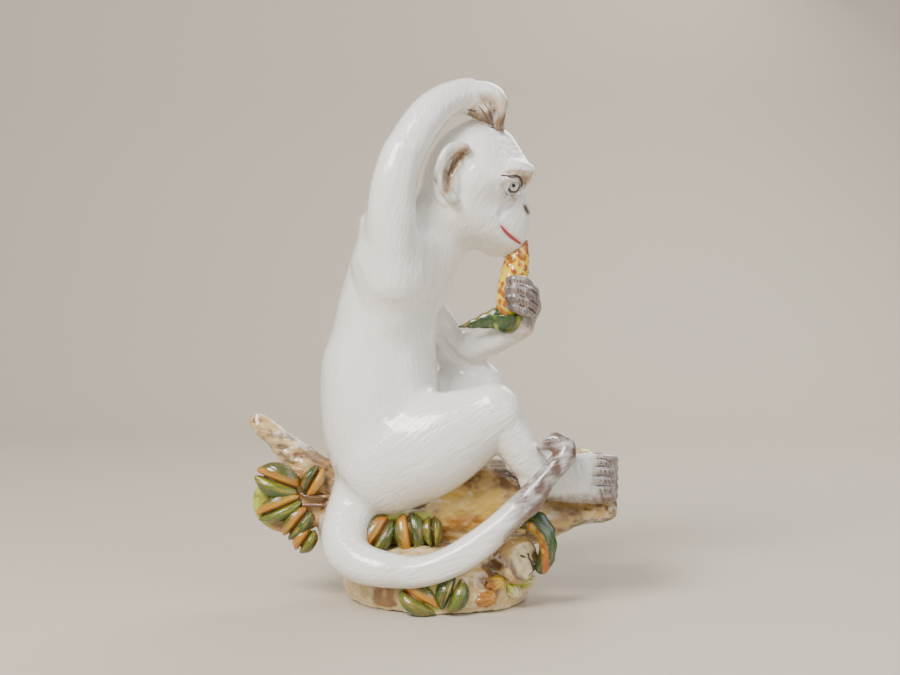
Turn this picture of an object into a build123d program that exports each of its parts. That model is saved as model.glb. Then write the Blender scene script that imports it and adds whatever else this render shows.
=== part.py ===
from build123d import *
import math
import os

os.makedirs("parts", exist_ok=True)

# A glazed ceramic monkey that sits on a log, one arm curled over its head, and eats a fruit cone.
# Millimetres. +X is the way the monkey faces, +Y is its left, +Z is up, and the origin is the centre
# of the base's flat underside. Each piece is cast or pressed by itself and luted to its neighbours,
# so it is cut to the outer form of the pieces that it is stuck on and meets them face to face.

# Clay
wall = 5
vent_diameter = 14
luting_bore = 9
overrun = 6

# Base mound
base_length = 114
base_depth = 112
base_height = 36

# Log, and the knot at its far end that the feet grip
log_length = 184
log_left_reach = 74
log_thickness = 52
log_width = 50
log_sink = 9
knot_length = 34
knot_width = 50
knot_height = 36

# Stub branch with its sawn end
stub_length = 44
stub_radius = 13.5
stub_reach = 52
stub_front = 45
stub_height = 29.5
stub_bevel = 2

# Twig behind the back
twig_length = 88
twig_tip_radius = 6
twig_root_radius = 14

# Torso
torso_height = 180
torso_depth = 76
torso_width = 80
seat_back = 35

# Head
head_length = 70
head_width = 60
head_height = 84
eye_radius = 6.2
socket_radius = 8
nostril_radius = 1.1
nostril_depth = 4

# Ears
ear_height = 27
ear_width = 14
ear_rim = 3.6
ear_dish = 3

# Raised arm and its hand
raised_arm_radius = 15.5
raised_arm_side = 35
raised_arm_clearance = 17
raised_palm_width = 22
raised_palm_thickness = 15
finger_radius = 3.1
finger_pitch = 5.6
finger_count = 4

# Feeding arm and its hand
feeding_arm_radius = 12.5
forearm_radius = 9.5
feeding_elbow_reach = 36
feeding_elbow_drop = 50
feeding_palm_width = 15
feeding_palm_thickness = 9
thumb_radius = 3.3

# Fruit, its calyx and its long leaf
fruit_length = 52
fruit_radius = 8.8
fruit_lean = 9.5
calyx_radius = 10
calyx_height = 12
fruit_leaf_length = 36
fruit_leaf_width = 13
fruit_leaf_thickness = 5

# Legs and feet
thigh_radius = 29
knee_radius = 20
shin_radius = 15
ankle_radius = 10.5
leg_side = 31
right_knee_reach = 68
right_knee_rise = 35
left_knee_reach = 60
left_knee_rise = 46
ankle_rise = 24
left_foot_drop = 6
foot_length = 38
foot_height = 31
foot_thickness = 17
toe_length = 15
toe_radius = 3.5
toe_pitch = 6
toe_count = 5

# Tail
tail_root_radius = 16
tail_radius = 9.3
tail_tip_radius = 3.8

# Leaves and buds
rump_leaf_length = 30
rump_leaf_width = 20
hip_leaf_length = 25
hip_leaf_width = 17
base_leaf_length = 26
base_leaf_width = 18
leaf_thickness = 10
frond_length = 48
frond_height = 40
frond_thickness = 8
frond_lap = 8
stem_radius = 1.5
curled_leaf_width = 17
curled_leaf_thickness = 9
bud_length = 18

# Shares by which a rounded end closes: how far along the dome, and how wide the form is there
dome_shares = ((0.5, 0.86), (0.84, 0.54), (0.98, 0.2))

# A long limb is lofted in spans of so many stations
span_stations = 4


def place(x, y, z):
    """A point of the figurine."""
    return Vector(x, y, z)


def between(start, end, share):
    """The point at this share of the way from start to end."""
    return start + (end - start) * share


def ring(centre, heading, side, half_side, half_other):
    """One elliptical section, square to the heading, with half_side measured along side."""
    with BuildSketch(Plane(origin=centre, x_dir=side, z_dir=heading)) as section:
        Ellipse(half_side, half_other)
    return section.sketch


def dome(station, way):
    """Round off a limb beyond its first or last station."""
    centre, heading, side, half_side, half_other = station
    reach = min(half_side, half_other) * way
    rings = [ring(centre, heading, side, half_side, half_other)]
    for out, size in dome_shares:
        tip = centre + heading * reach * out
        rings.append(ring(tip, heading, side, half_side * size, half_other * size))
    loft(sections=rings, clean=False)


def limb(centres, halves, side, dome_start=False, dome_end=False, mode=Mode.ADD):
    """Loft a limb through ellipses on its centre line, each (half width along side, other half)."""
    last = len(centres) - 1
    stations = []
    for index, (centre, (half_side, half_other)) in enumerate(zip(centres, halves)):
        run = centres[min(index + 1, last)] - centres[max(index - 1, 0)]
        heading = run.normalized()
        side = (side - heading * side.dot(heading)).normalized()
        stations.append((centre, heading, side, half_side, half_other))
    for start in range(0, last, span_stations):
        span = stations[start : start + span_stations + 1]
        loft(sections=[ring(*station) for station in span], clean=False, mode=mode)
    if dome_start:
        dome(stations[0], -1)
    if dome_end:
        dome(stations[-1], 1)


def round_limb(centres, radii, side, dome_start=False, dome_end=False, mode=Mode.ADD):
    """Loft a limb through circles on its centre line."""
    limb(centres, [(radius, radius) for radius in radii], side, dome_start, dome_end, mode)


def rod(start, end, radius, mode=Mode.ADD):
    """A straight round bar from start to end."""
    heading = (end - start).normalized()
    with BuildSketch(Plane(origin=start, z_dir=heading)) as section:
        Circle(radius)
    extrude(section.sketch, amount=(end - start).length, dir=heading, mode=mode)


def cut(*others):
    """Take the outer form of the pieces that this one is luted to out of the part being built."""
    for other in others:
        add(other.part, clean=False, mode=Mode.SUBTRACT)


def keep_largest(piece):
    """Drop the offcuts that a cut leaves on the far side of a neighbour."""
    solids = piece.part.solids().sort_by(SortBy.VOLUME)
    with BuildPart() as kept:
        add(solids[-1])
    return kept


def write(piece, name):
    """Label a finished piece and write it to its own file."""
    piece.part.label = name
    export_step(piece.part, f"parts/{name}.step")


# Base mound: a low rocky mound, cast hollow, closed below but for its vent

base_plan_shares = (
    (1.0, 0.0), (0.93, 0.42), (0.62, 0.83), (0.18, 0.98), (-0.3, 0.96), (-0.74, 0.74),
    (-1.0, 0.28), (-0.98, -0.22), (-0.7, -0.66), (-0.3, -0.95), (0.2, -1.0), (0.66, -0.8),
    (0.95, -0.4),
)
base_step_shares = ((0.0, 0.97), (0.1, 1.0), (0.45, 1.0), (0.8, 0.88), (1.0, 0.66))


def base_section(height, share, inset):
    """The mound's outline at this height."""
    half_length = base_length / 2 * share - inset
    half_depth = base_depth / 2 * share - inset
    with BuildSketch(Plane.XY.offset(height)) as section:
        with BuildLine():
            Spline(*[(half_length * x, half_depth * y) for x, y in base_plan_shares], periodic=True)
        make_face()
    return section.sketch


with BuildPart() as base_form:
    loft(sections=[base_section(base_height * rise, share, 0) for rise, share in base_step_shares])

with BuildPart() as base_mound:
    add(base_form.part)
    inner_steps = [(wall + (base_height - 2 * wall) * rise, share) for rise, share in base_step_shares]
    loft(
        sections=[base_section(height, share, wall) for height, share in inner_steps],
        mode=Mode.SUBTRACT,
    )
    vent_place = place(base_length / 4, base_depth / 8, 0)
    rod(vent_place, vent_place + place(0, 0, 2 * wall), vent_diameter / 2, mode=Mode.SUBTRACT)

# Log: a thick branch that lies in the mound, thinner and flatter where the feet grip it

log_axis = base_height + log_thickness / 2 - log_sink
log_shares = (
    (0.0, -0.1, 0.17, 0.15), (0.02, -0.08, 0.33, 0.3), (0.08, -0.04, 0.45, 0.43),
    (0.28, 0.0, 0.52, 0.5), (0.5, 0.07, 0.52, 0.5), (0.65, 0.09, 0.49, 0.48),
    (0.74, 0.02, 0.41, 0.48), (0.83, 0.0, 0.25, 0.5), (0.92, 0.05, 0.18, 0.5),
    (1.0, 0.09, 0.145, 0.44),
)


def log_point(along, rise):
    """A point on the log's middle plane."""
    return place(log_length * along - log_left_reach, 0, log_axis + log_thickness * rise)


def log_rings(rows, inset):
    """Sections of the log, upright across its length."""
    return [
        ring(
            log_point(along, rise),
            place(1, 0, 0),
            place(0, 1, 0),
            log_width * half_width - inset,
            log_thickness * half_height - inset,
        )
        for along, rise, half_height, half_width in rows
    ]


with BuildPart() as log_form:
    loft(sections=log_rings(log_shares, 0))

# Knot: the swelling of the log that both feet grip

knot_centre = log_point(0.88, 0.05) + place(0, 0, knot_height / 2)
knot_shares = ((-0.62, 0.62), (-0.3, 0.92), (0.05, 1.0), (0.32, 0.88), (0.47, 0.52), (0.5, 0.2))
with BuildPart() as knot_form:
    loft(
        sections=[
            ring(
                knot_centre + place(0, 0, knot_height * rise),
                place(0, 0, 1),
                place(1, 0, 0),
                knot_length / 2 * size,
                knot_width / 2 * size,
            )
            for rise, size in knot_shares
        ]
    )
with BuildPart() as log_knot:
    add(knot_form.part)
    cut(log_form)

# Stub branch: leaves the log under the tail and ends in a sawn face that looks forward and out

stub_end = place(stub_reach, -stub_front, stub_height)
stub_start = place(stub_reach - stub_length * 0.68, -stub_front + stub_length * 0.74, stub_height)
stub_radius_shares = ((0.0, 1.1), (0.35, 0.98), (0.7, 0.95), (0.93, 1.0), (1.0, 0.98))
with BuildPart() as stub_form:
    round_limb(
        [between(stub_start, stub_end, along) for along, size in stub_radius_shares],
        [stub_radius * size for along, size in stub_radius_shares],
        place(0, 0, 1),
    )
    sawn_edges = stub_form.part.edges().sort_by(Axis.Y)[0]
    chamfer(sawn_edges, length=stub_bevel)
with BuildPart() as stub_branch:
    add(stub_form.part)
    cut(base_form, log_form)
stub_branch = keep_largest(stub_branch)

# Twig: rises behind the back from the log's left end

twig_root = log_point(0.13, 0.02)
twig_heading = place(-0.755, 0.06, 0.653).normalized()
twig_shares = ((0.0, 0.0), (0.25, 0.15), (0.5, 0.45), (0.75, 0.8), (0.93, 1.0))
with BuildPart() as twig_form:
    round_limb(
        [twig_root + twig_heading * twig_length * along for along, taper in twig_shares],
        [twig_root_radius + (twig_tip_radius - twig_root_radius) * taper for along, taper in twig_shares],
        place(0, 1, 0),
        dome_end=True,
    )
# Torso: one hollow casting from the rump on the log to the top of the neck

seat = place(-seat_back, 0, log_axis + log_thickness * 0.13)
torso_shares = (
    (0.0, -0.2, 0.36, 0.25), (0.045, -0.32, 0.43, 0.38), (0.11, -0.4, 0.49, 0.45),
    (0.19, -0.455, 0.51, 0.485), (0.28, -0.485, 0.5, 0.49), (0.36, -0.495, 0.48, 0.475),
    (0.45, -0.49, 0.46, 0.45), (0.53, -0.45, 0.45, 0.43), (0.62, -0.38, 0.46, 0.42),
    (0.72, -0.325, 0.5, 0.425), (0.805, -0.265, 0.535, 0.42), (0.865, -0.215, 0.54, 0.37),
    (0.91, -0.15, 0.55, 0.31), (0.955, -0.03, 0.585, 0.26), (1.0, 0.12, 0.62, 0.22),
)


def torso_rings(rows, inset):
    """Level sections of the torso."""
    rings = []
    for rise, back, front, half_width in rows:
        middle = seat + place(torso_depth * (back + front) / 2, 0, torso_height * rise)
        half_depth = torso_depth * (front - back) / 2 - inset
        half_side = torso_width * half_width - inset
        rings.append(ring(middle, place(0, 0, 1), place(1, 0, 0), half_depth, half_side))
    return rings


def torso_point(depth_share, side_share, rise_share):
    """A point given by its shares of the torso's depth, half width and height."""
    side = torso_width / 2 * side_share
    return seat + place(torso_depth * depth_share, side, torso_height * rise_share)


with BuildPart() as torso_form:
    loft(sections=torso_rings(torso_shares, 0))

# Head: stacked level outlines from the chin to the crown

head_corner = torso_point(0.33, 0, 0.84)
head_shares = (
    (0.0, 0.66, 0.7, 0.06, 0.74, 0.05, 0.78), (0.04, 0.53, 0.67, 0.14, 0.79, 0.11, 0.865),
    (0.115, 0.3, 0.55, 0.27, 0.82, 0.19, 0.92), (0.2, 0.09, 0.4, 0.38, 0.81, 0.235, 0.945),
    (0.295, 0.025, 0.345, 0.45, 0.8, 0.245, 0.965), (0.39, 0.005, 0.33, 0.485, 0.79, 0.25, 0.955),
    (0.475, 0.0, 0.33, 0.5, 0.8, 0.3, 0.92), (0.57, 0.005, 0.34, 0.5, 0.84, 0.35, 0.985),
    (0.62, 0.015, 0.35, 0.49, 0.83, 0.35, 1.0), (0.7, 0.045, 0.37, 0.465, 0.77, 0.33, 0.95),
    (0.82, 0.12, 0.41, 0.385, 0.7, 0.27, 0.86), (0.915, 0.225, 0.455, 0.27, 0.65, 0.19, 0.77),
    (0.975, 0.35, 0.49, 0.14, 0.6, 0.1, 0.66), (1.0, 0.43, 0.5, 0.05, 0.54, 0.045, 0.57),
)


def head_point(length_share, side_share, rise_share):
    """A point given by its shares of the head's length, width and height."""
    side = head_width * side_share
    return head_corner + place(head_length * length_share, side, head_height * rise_share)


def head_outline(rise, back, wide_at, wide, cheek_at, cheek, front):
    """The level outline of the head at one height."""
    nape_at = back + (wide_at - back) * 0.3
    half = [(front, 0.0), (cheek_at, cheek), (wide_at, wide), (nape_at, wide * 0.7), (back, 0.0)]
    mirrored = [(along, -side) for along, side in half[3:0:-1]]
    with BuildSketch(Plane(origin=head_point(0, 0, rise))) as section:
        with BuildLine():
            Spline(
                *[(head_length * along, head_width * side) for along, side in half + mirrored],
                periodic=True,
            )
        make_face()
    return section.sketch


with BuildPart() as head_form:
    loft(sections=[head_outline(*row) for row in head_shares])

eye_places = [head_point(0.81, side * 0.235, 0.51) for side in (-1, 1)]
nostril_places = [
    head_point(0.975, side * 0.055, 0.36) - place(nostril_depth, 0, 0) for side in (-1, 1)
]
skull_cavity_shares = ((0.3, 0.38), (0.4, 0.62), (0.6, 0.78), (0.78, 0.62), (0.88, 0.38))
with BuildPart() as head:
    add(head_form.part)
    cut(torso_form)
    for eye_place in eye_places:
        with Locations(eye_place + place(eye_radius / 4, 0, 0)):
            Sphere(socket_radius, mode=Mode.SUBTRACT)
    for nostril_place in nostril_places:
        nostril_mouth = nostril_place + place(nostril_depth + overrun, 0, 0)
        rod(nostril_place, nostril_mouth, nostril_radius, mode=Mode.SUBTRACT)
    loft(
        sections=[
            ring(
                head_point(0.4, 0, rise),
                place(0, 0, 1),
                place(1, 0, 0),
                (head_length / 2 - wall) * size,
                (head_width / 2 - wall) * size,
            )
            for rise, size in skull_cavity_shares
        ],
        mode=Mode.SUBTRACT,
    )
head = keep_largest(head)

eyes = []
for eye_place in eye_places:
    with BuildPart() as eye:
        with Locations(eye_place):
            Sphere(eye_radius)
        cut(head)
    eyes.append(keep_largest(eye))

# Ears: a rolled rim with a dished plate inside it, on each side of the head

ear_shares = (
    (0.46, 0.97), (0.18, 0.98), (-0.14, 0.9), (-0.4, 0.68), (-0.48, 0.36), (-0.36, 0.04),
    (-0.06, -0.16),
)
ear_foot = head_point(0.29, 0, 0.455)


def ear(way):
    """One ear; way is -1 on the right and 1 on the left."""

    def rim_point(along, rise):
        flare = head_width * 0.5 + ear_rim * (0.35 - 0.9 * along)
        return ear_foot + place(ear_width * along, way * flare, ear_height * rise)

    with BuildPart() as whole:
        round_limb(
            [rim_point(along, rise) for along, rise in ear_shares],
            [ear_rim] * len(ear_shares),
            place(0, 1, 0),
            dome_start=True,
            dome_end=True,
        )
        dish_heading = place(0.35, way, 0).normalized()
        dish_centre = rim_point(0.0, 0.45) - dish_heading * ear_rim * 0.4
        dish_plane = Plane(
            origin=dish_centre - dish_heading * ear_dish / 2,
            x_dir=place(0, 0, 1),
            z_dir=dish_heading,
        )
        with BuildSketch(dish_plane) as dish:
            Ellipse(ear_height * 0.5, ear_width * 0.46)
        extrude(dish.sketch, amount=ear_dish, dir=dish_heading)
        cut(head_form)
    return keep_largest(whole)


right_ear = ear(-1)
left_ear = ear(1)

# Raised arm: from the near shoulder up and over to the crown

crown = head_point(0.66, 0, 0.985)
shoulder = torso_point(0.14, -0.84, 0.85)
arm_top = crown + place(0, 0, raised_arm_clearance)
raised_arm_shares = (
    (-0.02, -0.14, 0.8, 0.98), (-0.04, 0.04, 0.93, 1.0), (-0.04, 0.24, 1.02, 0.95),
    (-0.01, 0.43, 1.03, 0.87), (0.09, 0.62, 0.97, 0.82), (0.25, 0.79, 0.82, 0.76),
    (0.42, 0.91, 0.66, 0.69), (0.58, 0.97, 0.48, 0.64), (0.74, 1.0, 0.33, 0.61),
)


def raised_arm_point(reach, rise, side):
    """A point on the arm's arc from the shoulder to above the crown."""
    return place(
        shoulder.X + (arm_top.X - shoulder.X) * reach,
        -raised_arm_side * side,
        shoulder.Z + (arm_top.Z - shoulder.Z) * rise,
    )


raised_wrist = raised_arm_point(*raised_arm_shares[-1][:3])
with BuildPart() as raised_arm_form:
    round_limb(
        [raised_arm_point(reach, rise, side) for reach, rise, side, size in raised_arm_shares],
        [raised_arm_radius * size for reach, rise, side, size in raised_arm_shares],
        place(0, 1, 0),
        dome_start=True,
    )
with BuildPart() as raised_arm:
    add(raised_arm_form.part)
    cut(torso_form, head_form)
raised_arm = keep_largest(raised_arm)

# Raised hand: a cupped palm, four fingers whose tips rest on the crown, and a thumb

raised_palm_shares = (
    (0.0, 1.0, 1.0, 0.85), (0.3, 1.03, 0.85, 0.97), (0.62, 0.92, 0.68, 1.0), (0.85, 0.66, 0.55, 0.92),
)
raised_finger_shares = ((0.6, 0.9), (0.86, 0.74), (0.98, 0.48), (0.98, 0.2), (0.9, -0.12))
raised_thumb_shares = ((0.05, 0.7), (0.24, 0.42), (0.42, 0.3))


def raised_hand_point(reach, rise, offset):
    """A point of the hand, between the wrist and the crown."""
    return place(
        raised_wrist.X + (crown.X + finger_radius - raised_wrist.X) * reach,
        raised_wrist.Y * 0.6 + offset,
        crown.Z + (raised_wrist.Z - crown.Z) * rise,
    )


with BuildPart() as raised_hand:
    limb(
        [
            raised_hand_point(reach, rise, raised_wrist.Y * (side - 0.6))
            for reach, rise, side, size in raised_palm_shares
        ],
        [
            (raised_palm_width / 2 * size, raised_palm_thickness / 2 * size)
            for reach, rise, side, size in raised_palm_shares
        ],
        place(0, 1, 0),
        dome_end=True,
    )
    for finger in range(finger_count):
        offset = finger_pitch * (finger - (finger_count - 1) / 2)
        round_limb(
            [raised_hand_point(reach, rise, offset) for reach, rise in raised_finger_shares],
            [finger_radius] * len(raised_finger_shares),
            place(0, 1, 0),
            dome_start=True,
            dome_end=True,
        )
    round_limb(
        [
            raised_hand_point(reach, rise, -raised_palm_width * 0.36)
            for reach, rise in raised_thumb_shares
        ],
        [thumb_radius] * len(raised_thumb_shares),
        place(0, 1, 0),
        dome_start=True,
        dome_end=True,
    )
    cut(head_form, raised_arm_form)
raised_hand = keep_largest(raised_hand)

# Fruit: a bumpy cone held at the lips, with a calyx below and a long leaf that lies on the forearm

lips = head_point(0.89, 0, 0.16)
fruit_foot = lips + place(-fruit_lean, 0, -fruit_length)
fruit_shares = (
    (0.0, 0.3), (0.14, 0.64), (0.32, 0.88), (0.52, 1.0), (0.72, 0.98), (0.88, 0.84), (1.0, 0.6),
)
with BuildPart() as fruit_form:
    round_limb(
        [between(lips, fruit_foot, along) for along, size in fruit_shares],
        [fruit_radius * size for along, size in fruit_shares],
        place(0, 1, 0),
        dome_end=True,
    )
with BuildPart() as fruit:
    add(fruit_form.part)
    cut(head_form)
fruit = keep_largest(fruit)

# Feeding arm: from the far shoulder down to the elbow, and forward to the fruit

far_shoulder = torso_point(0.14, 0.76, 0.8)
elbow = far_shoulder + place(feeding_elbow_reach, -forearm_radius * 0.4, -feeding_elbow_drop)
hand_level = between(lips, fruit_foot, 0.72)
feeding_wrist = fruit_foot + place(fruit_radius * 1.3, fruit_radius * 0.4, -calyx_height * 0.35)
upper_arm_shares = ((0.0, 1.0), (0.3, 0.98), (0.6, 0.94), (1.0, 0.88))
forearm_shares = (
    (-0.1, 0.0, 1.14), (0.3, -0.07, 1.02), (0.65, -0.06, 0.88), (0.88, -0.02, 0.8), (1.0, 0.05, 0.76),
)
with BuildPart() as feeding_arm_form:
    round_limb(
        [between(far_shoulder, elbow, along) for along, size in upper_arm_shares],
        [feeding_arm_radius * size for along, size in upper_arm_shares],
        place(0, 1, 0),
        dome_start=True,
        dome_end=True,
    )
    round_limb(
        [
            between(elbow, feeding_wrist, along) + place(0, 0, feeding_elbow_drop * sag)
            for along, sag, size in forearm_shares
        ],
        [forearm_radius * size for along, sag, size in forearm_shares],
        place(0, 1, 0),
        dome_start=True,
    )
with BuildPart() as feeding_arm:
    add(feeding_arm_form.part)
    cut(torso_form, fruit_form)
feeding_arm = keep_largest(feeding_arm)

calyx_shares = ((0.0, 0.35), (0.25, 0.75), (0.55, 0.95), (1.0, 1.0))
calyx_foot = fruit_foot + place(0, 0, -calyx_height * 0.75)
with BuildPart() as calyx_form:
    round_limb(
        [between(calyx_foot, calyx_foot + place(0, 0, calyx_height), along) for along, size in calyx_shares],
        [calyx_radius * size for along, size in calyx_shares],
        place(0, 1, 0),
    )
with BuildPart() as fruit_calyx:
    add(calyx_form.part)
    cut(fruit_form, feeding_arm_form)
fruit_calyx = keep_largest(fruit_calyx)

fruit_leaf_shares = ((0.0, 0.35), (0.2, 0.9), (0.45, 1.0), (0.7, 0.75), (1.0, 0.2))
fruit_leaf_root = calyx_foot + place(-calyx_radius * 0.4, -calyx_radius * 0.3, calyx_height * 0.6)
fruit_leaf_heading = place(-1, 0.18, -0.2).normalized()
with BuildPart() as fruit_leaf:
    limb(
        [
            fruit_leaf_root + fruit_leaf_heading * fruit_leaf_length * along
            for along, size in fruit_leaf_shares
        ],
        [
            (fruit_leaf_thickness / 2 * size, fruit_leaf_width / 2 * size)
            for along, size in fruit_leaf_shares
        ],
        place(0, 1, 0.5),
    )
    cut(calyx_form, fruit_form, feeding_arm_form)
fruit_leaf = keep_largest(fruit_leaf)

# Feeding hand: palm on the front of the fruit, fingers round its near side, thumb behind

finger_turn_shares = (0.0, 0.25, 0.5, 0.75, 1.0)
finger_start_angle = 25
finger_sweep_angle = -150
feeding_palm_shares = ((0.0, 0.0, 0.8), (0.3, 0.55, 0.95), (0.65, 0.75, 1.0), (1.0, 0.6, 0.8))
palm_top = hand_level + place(fruit_radius + feeding_palm_thickness * 0.25, 0, finger_pitch * 1.2)
with BuildPart() as feeding_hand:
    limb(
        [
            between(feeding_wrist, palm_top, along) + place(feeding_palm_thickness * 0.3 * bow, 0, 0)
            for along, bow, size in feeding_palm_shares
        ],
        [
            (feeding_palm_width / 2 * size, feeding_palm_thickness / 2 * size)
            for along, bow, size in feeding_palm_shares
        ],
        place(0, 1, 0),
        dome_start=True,
        dome_end=True,
    )
    for finger in range(finger_count):
        level = finger_pitch * (finger - finger_count * 0.62)
        reach = fruit_radius + finger_radius * 0.8
        route = []
        for share in finger_turn_shares:
            angle = math.radians(finger_start_angle + finger_sweep_angle * share)
            lift = level + finger_pitch * 1.3 * share
            route.append(hand_level + place(reach * math.cos(angle), reach * math.sin(angle), lift))
        round_limb(route, [finger_radius] * len(route), place(0, 0, 1), dome_end=True)
    thumb_root = feeding_wrist + place(0, feeding_palm_width * 0.3, finger_pitch)
    thumb_tip = hand_level + place(
        fruit_radius * 0.3,
        fruit_radius + thumb_radius * 0.7,
        finger_pitch * 1.2,
    )
    round_limb(
        [thumb_root, between(thumb_root, thumb_tip, 0.5), thumb_tip],
        [thumb_radius] * 3,
        place(1, 0, 0),
        dome_start=True,
        dome_end=True,
    )
    cut(fruit_form, calyx_form, feeding_arm_form)
feeding_hand = keep_largest(feeding_hand)

# Legs: a thigh and a shin fused at the knee, cast as one piece each

thigh_shares = ((0.0, -0.1, 0.93), (0.3, 0.0, 1.05), (0.6, 0.3, 1.07), (0.82, 0.7, 1.03), (1.0, 1.0, 1.0))
shin_shares = ((0.0, 0.0), (0.3, 0.35), (0.65, 0.8), (1.0, 1.0))
foot_seat = log_point(0.735, 0.02)


def leg(way, knee_reach, knee_rise, foot_rise):
    """One leg from hip to ankle; way is -1 on the right and 1 on the left."""
    hip = torso_point(0.03, way * 0.5, 0.12)
    knee = place(hip.X + knee_reach, way * leg_side, hip.Z + knee_rise)
    ankle = foot_seat + place(0, way * leg_side, foot_rise)
    with BuildPart() as form:
        thigh_radii = [
            (thigh_radius + (knee_radius - thigh_radius) * taper) * size
            for along, taper, size in thigh_shares
        ]
        limb(
            [between(hip, knee, along) for along, taper, size in thigh_shares],
            [(radius * 0.84, radius) for radius in thigh_radii],
            place(0, 1, 0),
            dome_start=True,
            dome_end=True,
        )
        knee_cap = between(knee, ankle, 0.06)
        round_limb(
            [between(knee_cap, ankle, along) for along, taper in shin_shares],
            [shin_radius + (ankle_radius - shin_radius) * taper for along, taper in shin_shares],
            place(0, 1, 0),
            dome_start=True,
            dome_end=True,
        )
    return form, ankle


right_leg_form, right_ankle = leg(-1, right_knee_reach, right_knee_rise, ankle_rise)
left_leg_form, left_ankle = leg(1, left_knee_reach, left_knee_rise, ankle_rise - left_foot_drop)
with BuildPart() as right_leg:
    add(right_leg_form.part)
    cut(torso_form, log_form, knot_form)
right_leg = keep_largest(right_leg)
with BuildPart() as left_leg:
    add(left_leg_form.part)
    cut(torso_form, log_form, knot_form, feeding_arm_form, right_leg_form)
left_leg = keep_largest(left_leg)

# Feet: held on edge against the knot, five toes one above another round the log's end

foot_shares = ((0.0, 0.72, 1.0), (0.3, 0.86, 1.02), (0.65, 0.97, 0.96), (1.0, 0.98, 0.85))


def foot(way, ankle):
    """One foot's outer form; its sole faces the knot."""
    heel = ankle + place(-ankle_radius * 0.3, 0, -ankle_radius * 0.1)
    ball = heel + place(foot_length, -way * foot_thickness * 0.12, 0)
    with BuildPart() as form:
        limb(
            [between(heel, ball, along) for along, tall, thick in foot_shares],
            [(foot_thickness / 2 * thick, foot_height / 2 * tall) for along, tall, thick in foot_shares],
            place(0, 1, 0),
            dome_start=True,
        )
        for toe in range(toe_count):
            lift = toe_pitch * (toe - (toe_count - 1) / 2)
            root = ball + place(-toe_length * 0.35, way * toe_radius * 0.4, lift)
            tip = ball + place(toe_length * 0.72, -way * toe_radius * 0.8, lift * 0.92)
            bend = between(root, tip, 0.65) + place(0, way * toe_radius * 0.7, 0)
            round_limb([root, bend, tip], [toe_radius] * 3, place(0, 0, 1), dome_end=True)
    return form


right_foot_form = foot(-1, right_ankle)
left_foot_form = foot(1, left_ankle)
with BuildPart() as right_foot:
    add(right_foot_form.part)
    cut(right_leg_form, log_form, knot_form)
right_foot = keep_largest(right_foot)
with BuildPart() as left_foot:
    add(left_foot_form.part)
    cut(left_leg_form, log_form, knot_form)
left_foot = keep_largest(left_foot)

# Tail: from the rump round the front of the base, up over the near ankle, its tip hooked on the shin

tail_hook = right_ankle + place(ankle_radius * 1.5, 0, ankle_radius * 2.2)
tail_low = base_height * 0.7
tail_shares = (
    (0.05, 0.21, 0.47), (0.015, 0.43, 0.28), (0.03, 0.68, 0.12), (0.12, 0.87, 0.04), (0.26, 0.97, 0.01),
    (0.4, 1.02, 0.03), (0.53, 1.03, 0.13), (0.665, 1.02, 0.3), (0.78, 1.0, 0.49), (0.88, 0.93, 0.67),
    (0.955, 0.87, 0.82), (0.995, 0.82, 0.92), (0.985, 0.8, 1.0), (0.94, 0.785, 1.02), (0.905, 0.775, 0.975),
)
tail_root_shares = (1.0, 0.85, 0.6, 0.35, 0.12)
tail_tip_shares = (0.1, 0.2, 0.4, 0.55, 0.7, 0.85, 0.95, 1.0)


def tail_point(along, front, rise):
    """A point on the tail between the base's back end and the hook over the ankle."""
    start = -base_length / 2
    return place(
        start + (tail_hook.X - start) * along,
        -base_depth / 2 * front,
        tail_low + (tail_hook.Z - tail_low) * rise,
    )


tail_radii = [tail_radius + (tail_root_radius - tail_radius) * share for share in tail_root_shares]
tail_radii += [tail_radius] * (len(tail_shares) - len(tail_root_shares) - len(tail_tip_shares))
tail_radii += [tail_radius + (tail_tip_radius - tail_radius) * share for share in tail_tip_shares]
with BuildPart() as tail_form:
    round_limb(
        [tail_point(*row) for row in tail_shares],
        tail_radii,
        place(1, 0, 0),
        dome_start=True,
        dome_end=True,
    )
with BuildPart() as tail:
    add(tail_form.part)
    cut(torso_form, log_form, base_form, stub_form, right_leg_form, right_foot_form)
tail = keep_largest(tail)
with BuildPart() as back_twig:
    add(twig_form.part)
    cut(log_form, torso_form, tail_form)
back_twig = keep_largest(back_twig)

# Leaves: each is pressed as two lobes with a groove between them

lobe_shares = ((0.0, 0.3), (0.2, 0.75), (0.4, 1.0), (0.6, 1.0), (0.8, 0.74), (1.0, 0.25))


def leaf(root, tip, outward, width, carriers):
    """A two-lobed leaf from root to tip that lies on its carriers, its face looking outward."""
    heading = (tip - root).normalized()
    side = heading.cross(outward).normalized()
    with BuildPart() as form:
        for way in (-1, 1):
            limb(
                [
                    between(root, tip, along) + side * way * width * 0.23 * size
                    for along, size in lobe_shares
                ],
                [(width * 0.28 * size, leaf_thickness / 2 * size) for along, size in lobe_shares],
                side,
            )
    with BuildPart() as whole:
        add(form.part)
        cut(*carriers)
    return form, keep_largest(whole)


# Rump cluster: a round frond on the log's left end, five leaves on its near face, and two stems

frond_centre = log_point(0.0, 0.13) + place(frond_lap - frond_length / 2, -log_width * 0.16, 0)
frond_shares = ((-0.5, 0.7), (-0.2, 0.98), (0.2, 1.0), (0.5, 0.75))
with BuildPart() as frond_form:
    loft(
        sections=[
            ring(
                frond_centre + place(0, -frond_thickness * out, 0),
                place(0, -1, 0),
                place(1, 0, 0),
                frond_length / 2 * size,
                frond_height / 2 * size,
            )
            for out, size in frond_shares
        ]
    )
with BuildPart() as leaf_frond:
    add(frond_form.part)
    cut(log_form, twig_form, tail_form)
leaf_frond = keep_largest(leaf_frond)

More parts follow.
